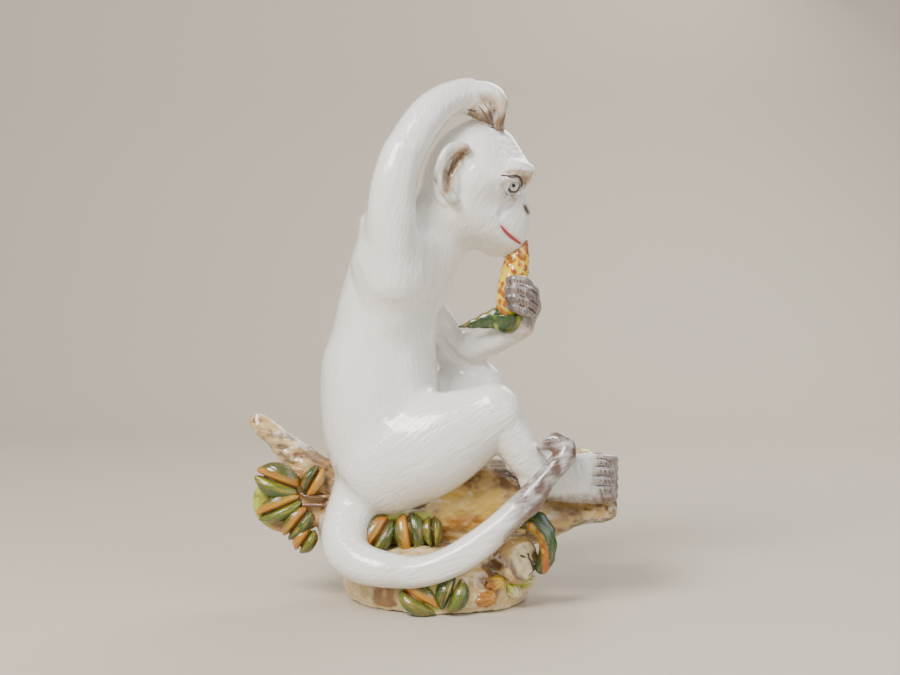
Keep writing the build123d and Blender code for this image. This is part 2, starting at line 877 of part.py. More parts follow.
cluster_hub = frond_centre + place(frond_length * 0.13, -frond_thickness * 0.75, frond_height * 0.04)
rump_leaf_shares = (
    (-0.07, 0.25, -0.87, 0.55, 1.05), (-0.03, 0.03, -0.85, -0.32, 0.75), (0.15, -0.2, -0.28, -0.73, 0.75),
    (0.23, -0.6, -0.05, -1.02, 0.64), (0.1, 0.15, 0.4, 0.67, 0.58),
)
rump_leaves = []
rump_forms = [frond_form, log_form, twig_form, tail_form]
for root_along, root_rise, tip_along, tip_rise, width in rump_leaf_shares:
    leaf_form, leaf_piece = leaf(
        cluster_hub + place(rump_leaf_length * root_along, 0, rump_leaf_length * root_rise),
        cluster_hub + place(rump_leaf_length * tip_along, 0, rump_leaf_length * tip_rise),
        place(0, -1, 0),
        rump_leaf_width * width,
        rump_forms[:4] + rump_forms[4:][-2:],
    )
    rump_leaves.append(leaf_piece)
    rump_forms.append(leaf_form)

stem_end = place(-log_left_reach * 0.8, cluster_hub.Y - stem_radius, cluster_hub.Z)
with BuildPart() as leaf_stems:
    for way in (-1, 1):
        lift = place(0, 0, stem_radius * 1.8 * way)
        rod(cluster_hub + lift, stem_end + lift, stem_radius)
    cut(log_form, frond_form, tail_form, *rump_forms[4:6], rump_forms[-1])

# Hip cluster: three leaves on the log's near side, between the thigh and the tail

hip_leaf_shares = (
    (0.245, -0.02, 0.175, -0.4, 1.0), (0.305, 0.03, 0.325, -0.38, 1.1), (0.385, 0.0, 0.39, -0.3, 0.62),
)
hip_leaves = []
hip_forms = [log_form, base_form, tail_form, right_leg_form]
for root_along, root_rise, tip_along, tip_rise, width in hip_leaf_shares:
    leaf_form, leaf_piece = leaf(
        log_point(root_along, root_rise) + place(0, -log_width * 0.51, 0),
        log_point(tip_along, tip_rise) + place(0, -log_width * 0.62, 0),
        place(0, -1, 0.3),
        hip_leaf_width * width,
        hip_forms[:4] + hip_forms[4:][-1:],
    )
    hip_leaves.append(leaf_piece)
    hip_forms.append(leaf_form)

# Base leaves and buds, on the front of the mound below the tail

base_leaf_shares = (
    (-0.35, -0.95, 0.42, -0.02, -1.02, 0.12, 1.0), (0.22, -0.94, 0.58, 0.1, -1.03, 0.12, 1.05),
)
base_leaves = []
base_forms = [base_form, stub_form]
for root_x, root_y, root_z, tip_x, tip_y, tip_z, width in base_leaf_shares:
    leaf_form, leaf_piece = leaf(
        place(base_length / 2 * root_x, base_depth / 2 * root_y, base_height * root_z),
        place(base_length / 2 * tip_x, base_depth / 2 * tip_y, base_height * tip_z),
        place(0, -1, 0.35),
        base_leaf_width * width,
        [base_form, tail_form, *base_forms[2:]],
    )
    base_leaves.append(leaf_piece)
    base_forms.append(leaf_form)

bud_shares = (
    (0.47, -0.87, 0.24, 0.95, 0.05, 0.33), (0.55, -0.8, 0.45, 1.1, 0.25, 0.32),
    (0.78, -0.7, 0.34, 0.7, -0.9, 0.26), (0.93, -0.55, 0.42, 0.75, 0.1, 0.24),
)
buds = []
for along, front, rise, length, tilt, girth in bud_shares:
    bud_heading = place(1, 0, tilt).normalized()
    half = bud_heading * bud_length * length * 0.25
    middle = place(base_length / 2 * along, base_depth / 2 * front, base_height * rise)
    with BuildPart() as bud_form:
        round_limb(
            [middle - half, middle, middle + half],
            [bud_length * girth * 0.9, bud_length * girth, bud_length * girth * 0.85],
            place(0, 1, 0),
            dome_start=True,
            dome_end=True,
        )
    with BuildPart() as bud:
        add(bud_form.part)
        cut(*base_forms[:2], *base_forms[2:][-2:])
    buds.append(keep_largest(bud))
    base_forms.append(bud_form)

# Curled leaf: bends over the stub and down past its sawn face

curl_centre = stub_end + place(-stub_radius * 0.32, stub_radius * 0.45, stub_radius * 0.2)
curl_shares = ((95, 1.5, 0.4), (65, 1.55, 0.8), (35, 1.48, 1.0), (5, 1.32, 0.95), (-25, 1.25, 0.5))
with BuildPart() as curled_leaf:
    curl_route = []
    for degrees, out, size in curl_shares:
        angle = math.radians(degrees)
        reach = stub_radius * out
        curl_route.append(curl_centre + place(reach * math.cos(angle), 0, reach * math.sin(angle)))
    limb(
        curl_route,
        [(curled_leaf_width / 2 * size, curled_leaf_thickness / 2) for degrees, out, size in curl_shares],
        place(-0.75, 0.66, 0),
        dome_start=True,
        dome_end=True,
    )
    cut(tail_form, stub_form, log_form, base_form)
curled_leaf = keep_largest(curled_leaf)

# Hollow castings: the torso is open at the neck and vents through the log into the base

log_bore_top = seat + place(0, 0, torso_height * 0.2)
log_bore_foot = place(seat.X, 0, log_axis)
base_bore_top = place(0, 0, log_axis)
base_bore_foot = place(0, 0, base_height / 2)
with BuildPart() as torso:
    add(torso_form.part)
    cut(log_form)
    loft(sections=torso_rings(torso_shares[2:], wall), mode=Mode.SUBTRACT)
    rod(log_bore_top, log_bore_foot, luting_bore / 2, mode=Mode.SUBTRACT)
with BuildPart() as main_log:
    add(log_form.part)
    loft(sections=log_rings(log_shares[2:7], wall), mode=Mode.SUBTRACT)
    rod(log_bore_top, log_bore_foot, luting_bore / 2, mode=Mode.SUBTRACT)
    cut(base_form)
    rod(base_bore_top, base_bore_foot, luting_bore / 2, mode=Mode.SUBTRACT)

pieces = {
    "base_mound": base_mound,
    "main_log": main_log,
    "log_knot": log_knot,
    "stub_branch": stub_branch,
    "back_twig": back_twig,
    "torso": torso,
    "head": head,
    "right_eye": eyes[0],
    "left_eye": eyes[1],
    "right_ear": right_ear,
    "left_ear": left_ear,
    "raised_arm": raised_arm,
    "raised_hand": raised_hand,
    "feeding_arm": feeding_arm,
    "feeding_hand": feeding_hand,
    "fruit": fruit,
    "fruit_calyx": fruit_calyx,
    "fruit_leaf": fruit_leaf,
    "right_leg": right_leg,
    "left_leg": left_leg,
    "right_foot": right_foot,
    "left_foot": left_foot,
    "tail": tail,
    "leaf_frond": leaf_frond,
    "leaf_stems": leaf_stems,
    "curled_leaf": curled_leaf,
}
for group, name in (
    (rump_leaves, "rump_leaf"), (hip_leaves, "hip_leaf"), (base_leaves, "base_leaf"), (buds, "base_bud"),
):
    for number, piece in enumerate(group, start=1):
        pieces[f"{name}_{number}"] = piece
for name, piece in pieces.items():
    write(piece, name)
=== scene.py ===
"""The dressed look of the seated monkey figurine: its glazed skin, painted log, leaves and fruit.

Sizes in the classes are millimetres; meshes are made in metres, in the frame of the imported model.
Places in the photograph are pixels of its 900 by 675 frame.
"""

import itertools
import logging
import math
from collections.abc import Iterator, Sequence
from dataclasses import dataclass, field
from enum import Enum

import bpy
import numpy as np
import openvdb as vdb
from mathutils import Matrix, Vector


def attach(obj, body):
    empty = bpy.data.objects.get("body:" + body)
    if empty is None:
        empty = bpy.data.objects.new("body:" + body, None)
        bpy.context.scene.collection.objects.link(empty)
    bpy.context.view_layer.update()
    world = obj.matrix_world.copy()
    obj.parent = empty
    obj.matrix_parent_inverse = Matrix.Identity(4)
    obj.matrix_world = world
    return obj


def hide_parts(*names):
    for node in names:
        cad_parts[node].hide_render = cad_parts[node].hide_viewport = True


logging.basicConfig(level=logging.INFO, format="%(message)s")
log = logging.getLogger("figurine")

Point = tuple[float, float, float]
Colour = tuple[float, float, float]
Pixel = tuple[float, float]
Run = tuple[tuple[Point, ...], tuple[float, ...], float]

MM = 0.001
NOISE_CELLS = 32
TINY = 1e-6
UNREACHED = 1e9
GOLDEN_TURN = 2.399963
SMALL_VOXEL = 0.42
SMALL_BAND = 9
COLOUR_SOCKET = "NodeSocketColor"
NUMBER_SOCKET = "NodeSocketFloat"


def unit(v: np.ndarray) -> np.ndarray:
    """Scale vectors along the last axis to length one."""
    return v / (np.linalg.norm(v, axis=-1, keepdims=True) + 1e-12)


def ease(x: np.ndarray, low: float, high: float) -> np.ndarray:
    """Rise smoothly from 0 at low to 1 at high."""
    t = np.clip((x - low) / (high - low), 0.0, 1.0)
    return t * t * (3 - 2 * t)


def cell_corners(share: np.ndarray) -> Iterator[tuple[tuple[int, ...], np.ndarray]]:
    """Each corner of a lattice cell, with its weight for places at given shares of the cell.

    Args:
        share: Where each place lies in its cell, from 0 to 1 along each axis.

    Returns:
        Pairs of a corner's offsets and the weights there.
    """
    for corner in itertools.product((0, 1), repeat=3):
        x, y, z = (share[:, k] if corner[k] else 1 - share[:, k] for k in range(3))
        yield corner, x * y * z


def lattice_noise(points: np.ndarray, size: float, seed: int) -> np.ndarray:
    """Smooth value noise between -1 and 1.

    Args:
        points: Places in mm, one a row.
        size: Width of one lump in mm.
        seed: Which noise.

    Returns:
        One value for each place.
    """
    table = np.random.RandomState(seed).uniform(-1, 1, (NOISE_CELLS,) * 3).astype(np.float32)
    q = points / size
    cell = np.floor(q).astype(int)
    f = (q - cell).astype(np.float32)
    f = f * f * (3 - 2 * f)
    total = np.zeros(len(points), np.float32)
    for corner, weight in cell_corners(f):
        total += weight * table[tuple(((cell + corner) % NOISE_CELLS).T)]
    return total


def segment_distance(points: np.ndarray, start: Point, end: Point) -> tuple[np.ndarray, np.ndarray]:
    """Distance from each place to a segment, and the share along it of the nearest point.

    Args:
        points: Places, one a row or in a grid.
        start: One end.
        end: The other end.

    Returns:
        The distances and the shares.
    """
    a, b = np.array(start, np.float32), np.array(end, np.float32)
    ab = b - a
    t = np.clip(((points - a) @ ab) / (ab @ ab + 1e-9), 0, 1)
    near = a + t[..., None] * ab
    return np.linalg.norm(points - near, axis=-1), t


def quick_voxel(voxel: float) -> float:
    return voxel * 1


@dataclass
class Clay:
    """A block of voxels holding signed distances in mm, which limbs are added to and strokes carved from."""

    low: Point
    high: Point
    voxel: float
    band: int = 11
    values: np.ndarray = field(default=None, repr=False)

    def __post_init__(self) -> None:
        """Lay out the empty block."""
        self.start = np.floor(np.array(self.low) / self.voxel).astype(int)
        self.shape = np.ceil(np.array(self.high) / self.voxel).astype(int) - self.start + 1
        self.far = self.band * self.voxel
        self.values = np.full(tuple(self.shape), self.far, np.float32)

    def window(self, low: np.ndarray, high: np.ndarray) -> tuple[tuple[slice, ...], np.ndarray]:
        """The part of the block between two corners in mm, as slices and its first index.

        Args:
            low: The lower corner in mm.
            high: The upper corner in mm.

        Returns:
            A slice and a first index for each axis.
        """
        a = np.maximum(np.floor(low / self.voxel).astype(int) - self.start, 0)
        b = np.minimum(np.ceil(high / self.voxel).astype(int) - self.start + 1, self.shape)
        b = np.maximum(b, a + 1)
        return tuple(slice(int(i), int(j)) for i, j in zip(a, b)), a

    def places(self, window: tuple[slice, ...]) -> np.ndarray:
        """Centres in mm of the voxels of a window.

        Args:
            window: A slice for each axis.

        Returns:
            Places in mm, in a grid like the window.
        """
        axes = [
            (np.arange(s.start, s.stop) + self.start[i]).astype(np.float32) * self.voxel
            for i, s in enumerate(window)
        ]
        return np.stack(np.meshgrid(*axes, indexing="ij"), axis=-1)

    def everywhere(self) -> np.ndarray:
        """Centres in mm of all the voxels, one a row."""
        return self.places(tuple(slice(0, int(n)) for n in self.shape)).reshape(-1, 3)

    def press(self, depth: np.ndarray) -> None:
        """Push the surface in by so many mm, given for each voxel."""
        self.values += depth.reshape(self.values.shape).astype(np.float32)

    def blend(self, window: tuple[slice, ...], distance: np.ndarray, soft: float) -> None:
        """Add a form to a window, with a fillet of about soft mm.

        Args:
            window: Where in the block.
            distance: Signed distances in mm to the form.
            soft: How wide the fillet is, in mm.
        """
        old = self.values[window]
        if soft <= 0:
            self.values[window] = np.minimum(old, distance)
            return
        h = np.clip(soft - np.abs(old - distance), 0, None) / soft
        self.values[window] = np.minimum(old, distance) - h * h * soft * 0.25

    def carve(self, window: tuple[slice, ...], distance: np.ndarray, soft: float) -> None:
        """Take a form out of a window, with a soft edge.

        Args:
            window: Where in the block.
            distance: Signed distances in mm to the form.
            soft: How soft the edge is, in mm.
        """
        old = self.values[window]
        other = -distance
        h = np.clip(soft - np.abs(old - other), 0, None) / max(soft, 1e-6)
        self.values[window] = np.maximum(old, other) + h * h * soft * 0.25

    def node_field(self, node: str) -> tuple[tuple[slice, ...], np.ndarray]:
        """Signed distances to a CAD node, in the window round it.

        Args:
            node: The CAD node's name.

        Returns:
            The window and the distances in it.
        """
        points, triangles = cad_mesh(node)
        margin = self.far + self.voxel
        window, first = self.window(points.min(0) - margin, points.max(0) + margin)
        grid = vdb.FloatGrid.createLevelSetFromPolygons(
            points, triangles=triangles, transform=vdb.createLinearTransform(self.voxel), halfWidth=self.band
        )
        size = tuple(s.stop - s.start for s in window)
        out = np.zeros(size, np.float32)
        grid.copyToArray(out, ijk=tuple(int(i) for i in first + self.start))
        return window, out

    def add_node(self, node: str, grow: float = 0.0) -> None:
        """Add a CAD node's solid, grown by some mm."""
        window, distance = self.node_field(node)
        self.blend(window, distance - grow, 0)

    def join(self, nodes: list[tuple[str, float]], remade: str = "") -> np.ndarray:
        """Add CAD nodes one after another.

        Args:
            nodes: Each node's name, and the fillet in mm where it meets the rest.
            remade: A node that owns its place, though strokes give it its form.

        Returns:
            For each voxel, the index of the node that lies nearest.
        """
        nearest = np.full(self.values.shape, self.far, np.float32)
        owner = np.zeros(self.values.shape, np.uint8)
        for index, (node, soft) in enumerate(nodes):
            window, distance = self.node_field(node)
            if node != remade:
                self.blend(window, distance, soft)
            closer = distance < nearest[window]
            nearest[window] = np.where(closer, distance, nearest[window])
            owner[window] = np.where(closer, index, owner[window])
            log.info("clay takes %s", node)
        return owner

    def owner_at(self, owner: np.ndarray, points: np.ndarray) -> np.ndarray:
        """The index of the node that owns each place in mm."""
        cell = np.round(points / self.voxel).astype(int) - self.start
        return owner[tuple(np.clip(cell, 0, self.shape - 1).T)]

    def stroke(
        self,
        route: Sequence[Point],
        radii: Sequence[float],
        soft: float,
        take: bool = False,
        flat: float = 1.0,
    ) -> None:
        """Add or take a tapered stroke through points.

        Args:
            route: Points in mm that it runs through.
            radii: Its radius in mm at each point.
            soft: Width in mm of the fillet, or of the soft edge.
            take: Whether it is carved out.
            flat: Below 1 it is squeezed across Y.
        """
        pts = np.array(route, np.float32)
        spare = 3
        reach = max(radii) / min(flat, 1) + soft + spare
        for k in range(max(len(route) - 1, 1)):
            a, b = pts[k], pts[min(k + 1, len(route) - 1)]
            ra, rb = radii[k], radii[min(k + 1, len(radii) - 1)]
            window, _ = self.window(np.minimum(a, b) - reach, np.maximum(a, b) + reach)
            p = self.places(window)
            scale = np.array((1, 1 / flat, 1), np.float32)
            d, t = segment_distance(p * scale, tuple(a * scale), tuple(b * scale))
            d = (d - (ra + (rb - ra) * t)) * (flat if flat < 1 else 1)
            (self.carve if take else self.blend)(window, d, soft)

    def fill_hollows(self, step: int = 4) -> None:
        """Make every hollow that isn't open to the outside solid.

        Args:
            step: Width in voxels of the cells in which hollows are looked for.
        """
        whole = tuple(slice(0, int(s)) for s in self.shape)
        n = [math.ceil(s / step) for s in self.shape]
        padded = np.full([k * step for k in n], self.far, np.float32)
        padded[whole] = self.values
        solid = (padded < 0).reshape(n[0], step, n[1], step, n[2], step).any(axis=(1, 3, 5))
        outside = ~solid
        outside[1:-1, 1:-1, 1:-1] = False
        while True:
            grown = spread(outside) & ~solid
            if grown.sum() == outside.sum():
                break
            outside = grown
        hollow = (~solid & ~outside).repeat(step, 0).repeat(step, 1).repeat(step, 2)[whole]
        fine = hollow
        for _ in range(step * 2 + 1):
            fine = spread(fine) & (self.values > 0)
        self.values[fine | hollow] = -self.far

    def smooth(self, rounds: int = 1) -> None:
        """Blur the block a little, which melts seams and steps.

        Args:
            rounds: How many times it is blurred.
        """
        v = self.values
        for _ in range(rounds):
            for axis in range(3):
                v = (np.roll(v, 1, axis) + 2 * v + np.roll(v, -1, axis)) * 0.25
        self.values = v.astype(np.float32)

    def sample(self, points: np.ndarray) -> np.ndarray:
        """Read the block between voxels at places in mm.

        Args:
            points: Places in mm, one a row.

        Returns:
            Signed distances in mm.
        """
        q = points / self.voxel - self.start
        cell = np.clip(np.floor(q).astype(int), 0, self.shape - 2)
        out = np.zeros(len(points))
        for corner, weight in cell_corners(np.clip(q - cell, 0, 1)):
            out += weight * self.values[tuple((cell + corner).T)]
        return out

    def surface(self) -> tuple[np.ndarray, np.ndarray]:
        """The skin of the clay, which stays on or above the floor.

        Returns:
            Points in mm and quads that face outward.
        """
        grid = vdb.FloatGrid()
        grid.background = self.far
        grid.copyFromArray(np.ascontiguousarray(self.values), ijk=tuple(int(i) for i in self.start))
        grid.transform = vdb.createLinearTransform(self.voxel)
        points, quads = grid.convertToQuads(0.0)
        points, quads = np.array(points, np.float64), np.array(quads, np.int64)
        points[:, 2] = np.maximum(points[:, 2], 0)
        return outward(points, largest_shells(points, quads))


def spread(mask: np.ndarray) -> np.ndarray:
    """Grow a mask by one voxel along each axis.

    Args:
        mask: The voxels that are marked.

    Returns:
        The grown mask.
    """
    out = mask.copy()
    out[1:] |= mask[:-1]
    out[:-1] |= mask[1:]
    out[:, 1:] |= mask[:, :-1]
    out[:, :-1] |= mask[:, 1:]
    out[:, :, 1:] |= mask[:, :, :-1]
    out[:, :, :-1] |= mask[:, :, 1:]
    return out


def largest_shells(points: np.ndarray, quads: np.ndarray, least: int = 400, rounds: int = 400) -> np.ndarray:
    """Keep the quads of shells with at least so many quads, which drops crumbs.

    Args:
        points: The skin's points.
        quads: Its quads.
        least: How many quads a shell needs to be kept.
        rounds: How many times the joining is repeated at most.

    Returns:
        The quads that stay.
    """
    label = np.arange(len(points))
    for _ in range(rounds):
        low = label[quads].min(axis=1)
        new = label.copy()
        for k in range(4):
            np.minimum.at(new, quads[:, k], low)
        new = new[new]
        if (new == label).all():
            break
        label = new
    shell = label[quads[:, 0]]
    counts = np.bincount(shell, minlength=len(points))
    return quads[counts[shell] >= least]


def outward(points: np.ndarray, quads: np.ndarray) -> tuple[np.ndarray, np.ndarray]:
    """Drop unused points and turn the quads so that their volume is positive.

    Args:
        points: The skin's points in mm.
        quads: Its quads.

    Returns:
        The points that are used and the turned quads.
    """
    used = np.unique(quads)
    remap = np.full(len(points), -1)
    remap[used] = np.arange(len(used))
    points, quads = points[used], remap[quads]
    a, b, c, d = (points[quads[:, k]] for k in range(4))
    volume = (np.einsum("ij,ij->i", a, np.cross(b, c)) + np.einsum("ij,ij->i", a, np.cross(c, d))).sum()
    return points, quads if volume > 0 else quads[:, ::-1]


def cad_mesh(node: str) -> tuple[np.ndarray, np.ndarray]:
    """A CAD node's points in mm and its triangles.

    Args:
        node: The CAD node's name.

    Returns:
        The points and the triangles.
    """
    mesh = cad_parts[node].data
    points = np.zeros(len(mesh.vertices) * 3, np.float32)
    mesh.vertices.foreach_get("co", points)
    mesh.calc_loop_triangles()
    triangles = np.zeros(len(mesh.loop_triangles) * 3, np.int32)
    mesh.loop_triangles.foreach_get("vertices", triangles)
    matrix = np.array(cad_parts[node].matrix_world)
    points = points.reshape(-1, 3) @ matrix[:3, :3].T + matrix[:3, 3]
    return np.ascontiguousarray(points / MM, np.float32), triangles.reshape(-1, 3)


def point_normals(points: np.ndarray, quads: np.ndarray) -> np.ndarray:
    """Smooth outward normals at the points.

    Args:
        points: Places in mm, one a row.
        quads: The quads between them.

    Returns:
        One direction for each point.
    """
    a, b, c, d = (points[quads[:, k]] for k in range(4))
    face = np.cross(c - a, d - b)
    out = np.zeros_like(points)
    for k in range(4):
        np.add.at(out, quads[:, k], face)
    return unit(out)


class Slot(Enum):
    """The material slots."""

    WHITE = "white_glaze"
    HAND = "hand_glaze"
    EYE = "eye_glaze"
    BARK = "bark_glaze"
    ROCK = "rock_glaze"
    LEAF = "leaf_glaze"
    FRUIT = "fruit_glaze"


@dataclass
class Paint:
    """Painted colour on a mesh: red, green, blue and strength for each point."""

    count: int
    rgba: np.ndarray = field(default=None, repr=False)

    def __post_init__(self) -> None:
        """Start with bare glaze."""
        self.rgba = np.zeros((self.count, 4), np.float32)

    def wash(self, colour: Colour, strength: np.ndarray) -> None:
        """Lay a wash of colour over what is there.

        Args:
            colour: The wash's red, green and blue.
            strength: How much of it covers each point, from 0 to 1.
        """
        s = np.clip(strength, 0, 1)[:, None].astype(np.float32)
        kept = self.rgba[:, 3:] * (1 - s)
        alpha = s + kept
        mixed = (np.array(colour, np.float32) * s + self.rgba[:, :3] * kept) / np.maximum(alpha, TINY)
        self.rgba = np.concatenate([mixed, alpha], axis=1)

    def part(self, used: np.ndarray) -> "Paint":
        """The paint of some of the points.

        Args:
            used: Indices of the points.

        Returns:
            Their paint.
        """
        cut = Paint(len(used))
        cut.rgba = self.rgba[used]
        return cut


def make_mesh(
    name: str,
    points: np.ndarray,
    faces: np.ndarray | list,
    material: bpy.types.Material,
    slot: Slot,
    node: str | None = None,
    paint: Paint | None = None,
    normals: np.ndarray | None = None,
    grain: np.ndarray | None = None,
    rough: np.ndarray | None = None,
) -> None:
    """Make a shown piece that rides on the figurine.

    Args:
        name: The piece's name.
        points: Places in mm.
        faces: Corner indices of each face.
        material: Its finish.
        slot: Not used.
        node: The CAD node that it stands for, if any.
        paint: Painted colours, if any.
        normals: Shading normals at the points, if they are given.
        grain: Stretched coordinates that brush and hair marks follow, if not the places.
        rough: How much of the relief shows at each point, if not all.
    """
    mesh = bpy.data.meshes.new(name)
    mesh.from_pydata((points * MM).tolist(), [], faces.tolist() if isinstance(faces, np.ndarray) else faces)
    mesh.polygons.foreach_set("use_smooth", [True] * len(mesh.polygons))
    count = len(points)
    wash = (Paint(count) if paint is None else paint).rgba
    flow = points if grain is None else grain
    shown = np.ones(count) if rough is None else rough
    for layer, kind, key, values in (
        ("wash", "FLOAT_COLOR", "color", wash),
        ("grain", "FLOAT_VECTOR", "vector", flow),
        ("rough", "FLOAT", "value", shown),
    ):
        family = mesh.color_attributes if layer == "wash" else mesh.attributes
        data = family.new(layer, kind, "POINT").data
        data.foreach_set(key, np.ascontiguousarray(values, np.float32).ravel())
    if normals is not None:
        mesh.normals_split_custom_set_from_vertices(normals.tolist())
    mesh.materials.append(material)
    obj = bpy.data.objects.new(name, mesh)
    bpy.context.collection.objects.link(obj)
    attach(obj, "root")
    if node:
        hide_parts(node)
    log.info("%s: %d faces", name, len(mesh.polygons))


def cut_pieces(
    clay_skin: tuple[np.ndarray, np.ndarray, np.ndarray],
    labels: np.ndarray,
    pieces: list[tuple[str, Slot, bpy.types.Material]],
    paint: Paint,
    grain: np.ndarray,
    rough: np.ndarray,
) -> None:
    """Cut a skin into a piece for each node that it covers.

    Args:
        clay_skin: The skin's points, quads and normals.
        labels: Index of the node that owns each point.
        pieces: Each node's name, slot and finish.
        paint: The skin's paint.
        grain: Coordinates that hair and brush marks follow.
        rough: How much of the relief shows at each point.
    """
    points, quads, normals = clay_skin
    for index, (node, slot, material) in enumerate(pieces):
        mine = quads[labels[quads[:, 0]] == index]
        if not len(mine):
            continue
        used, inverse = np.unique(mine, return_inverse=True)
        make_mesh(
            f"{node}_skin", points[used], inverse.reshape(mine.shape), material, slot, node,
            paint.part(used), normals[used], grain[used], rough[used],
        )


def tube(
    route: np.ndarray, radii: np.ndarray, flat: float, up: Point, sides: int = 10
) -> tuple[np.ndarray, np.ndarray]:
    """A closed tube through points, flattened along up.

    Args:
        route: Places in mm along the middle.
        radii: Radius in mm at each place.
        flat: Height as a share of the width.
        up: Which way it is flattened.
        sides: How many corners go round it.

    Returns:
        Points in mm and faces.
    """
    heading = unit(np.gradient(route, axis=0))
    across = unit(np.cross(heading, np.array(up, float)))
    lift = unit(np.cross(across, heading))
    turn = np.linspace(0, 2 * math.pi, sides, endpoint=False)
    rings = [
        route[i] + radii[i] * (np.cos(turn)[:, None] * across[i] + np.sin(turn)[:, None] * flat * lift[i])
        for i in range(len(route))
    ]
    points = np.concatenate(rings + [route[:1], route[-1:]])
    faces = []
    for i in range(len(route) - 1):
        for k in range(sides):
            a, b = i * sides + k, i * sides + (k + 1) % sides
            faces.append((a, a + sides, b + sides, b))
    last = (len(route) - 1) * sides
    foot, head = len(points) - 2, len(points) - 1
    faces += [(foot, k, (k + 1) % sides) for k in range(sides)]
    faces += [(head, last + (k + 1) % sides, last + k) for k in range(sides)]
    return points, faces


def resample(route: np.ndarray, count: int) -> np.ndarray:
    """Even points along a smooth line through the given ones.

    Args:
        route: The given points.
        count: How many points come back.

    Returns:
        The even points.
    """
    pts = np.asarray(route, float)
    t = np.concatenate([[0], np.cumsum(np.linalg.norm(np.diff(pts, axis=0), axis=1))])
    t /= t[-1]
    s = np.linspace(0, 1, count)
    if len(pts) < 3:
        return np.stack([np.interp(s, t, pts[:, k]) for k in range(3)], 1)
    slope = np.gradient(pts, t, axis=0)
    i = np.clip(np.searchsorted(t, s, side="right") - 1, 0, len(t) - 2)
    h = (t[i + 1] - t[i])[:, None]
    u = ((s - t[i])[:, None]) / h
    return (
        (2 * u**3 - 3 * u**2 + 1) * pts[i]
        + (u**3 - 2 * u**2 + u) * h * slope[i]
        + (-2 * u**3 + 3 * u**2) * pts[i + 1]
        + (u**3 - u**2) * h * slope[i + 1]
    )


def new_group(
    name: str, inputs: list[tuple[str, str, float]], outputs: list[tuple[str, str]]
) -> bpy.types.NodeTree:
    """Start a shader node group with its sockets.

    Args:
        name: The group's name.
        inputs: Name, socket type and value of each input.
        outputs: Name and socket type of each output.

    Returns:
        The group, with an input and an output node.
    """
    group = bpy.data.node_groups.new(name, "ShaderNodeTree")
    for label, kind, value in inputs:
        socket = group.interface.new_socket(label, in_out="INPUT", socket_type=kind)
        if kind == NUMBER_SOCKET:
            socket.default_value = value
    for label, kind in outputs:
        group.interface.new_socket(label, in_out="OUTPUT", socket_type=kind)
    group.nodes.new("NodeGroupInput").name = "in"
    group.nodes.new("NodeGroupOutput").name = "out"
    return group


class Wiring:
    """Adds nodes to a tree, set and linked."""

    def __init__(self, tree: bpy.types.NodeTree) -> None:
        """Hold the tree."""
        self.nodes, self.link = tree.nodes, tree.links.new

    def add(
        self,
        kind: str,
        inputs: dict,
        attribute: str = "",
        operation: str = "",
        tree: bpy.types.NodeTree | None = None,
    ) -> bpy.types.Node:
        """Add a node.

        Args:
            kind: Its type, without the words that all types start with.
            inputs: A value or another node's socket for each input that is set.
            attribute: Name of the mesh attribute that it reads.
            operation: What a maths node does.
            tree: The group that it stands for.

        Returns:
            The node.
        """
        node = self.nodes.new("ShaderNode" + kind)
        if attribute:
            node.attribute_name = attribute
        if operation:
            node.operation = operation
        if tree:
            node.node_tree = tree
        for name, value in inputs.items():
            if isinstance(value, bpy.types.NodeSocket):
                self.link(value, node.inputs[name])
            else:
                node.inputs[name].default_value = value
        return node

    def attribute(self, name: str) -> bpy.types.NodeOutputs:
        """Read a mesh attribute."""
        return self.add("Attribute", {}, attribute=name).outputs

    def maths(self, operation: str, *values: object) -> bpy.types.NodeSocket:
        """Work out one number."""
        return self.add("Math", dict(enumerate(values)), operation=operation).outputs[0]

    def mix(self, share: object, under: object, over: object) -> bpy.types.NodeSocket:
        """Mix two colours.

        Args:
            share: How much of the upper colour shows.
            under: The lower colour.
            over: The upper colour.

        Returns:
            The mixed colour.
        """
        node = self.add("Mix", {})
        node.data_type = "RGBA"
        for index, value in ((0, share), (6, under), (7, over)):
            if isinstance(value, bpy.types.NodeSocket):
                self.link(value, node.inputs[index])
            else:
                node.inputs[index].default_value = value
        return node.outputs[2]


def brush_wash_group() -> bpy.types.NodeTree:
    """Painted washes over a ground colour, broken up by the grain of the brush.

    Returns:
        The group.
    """
    group = new_group(
        "brush_wash",
        [("Ground", COLOUR_SOCKET, 0), ("Grain size", NUMBER_SOCKET, 0.6), ("Break", NUMBER_SOCKET, 0.5)],
        [("Color", COLOUR_SOCKET), ("Mask", NUMBER_SOCKET)],
    )
    edge_swing, full = 6.0, 1.15
    w = Wiring(group)
    given, result = group.nodes["in"].outputs, group.nodes["out"].inputs
    wash, grain = w.attribute("wash"), w.attribute("grain")
    noise = w.add(
        "TexNoise", {"Detail": 4, "Roughness": 0.6, "Vector": grain["Vector"], "Scale": given["Grain size"]}
    )
    ragged = w.maths("MULTIPLY", w.maths("SUBTRACT", noise.outputs["Fac"], 0.5), given["Break"])
    half_laid = w.maths("MULTIPLY", wash["Alpha"], w.maths("SUBTRACT", full, wash["Alpha"]))
    amount = w.maths("MULTIPLY_ADD", w.maths("MULTIPLY", half_laid, ragged), edge_swing, wash["Alpha"])
    amount.node.use_clamp = True
    w.link(w.mix(amount, given["Ground"], wash["Color"]), result["Color"])
    w.link(amount, result["Mask"])
    return group


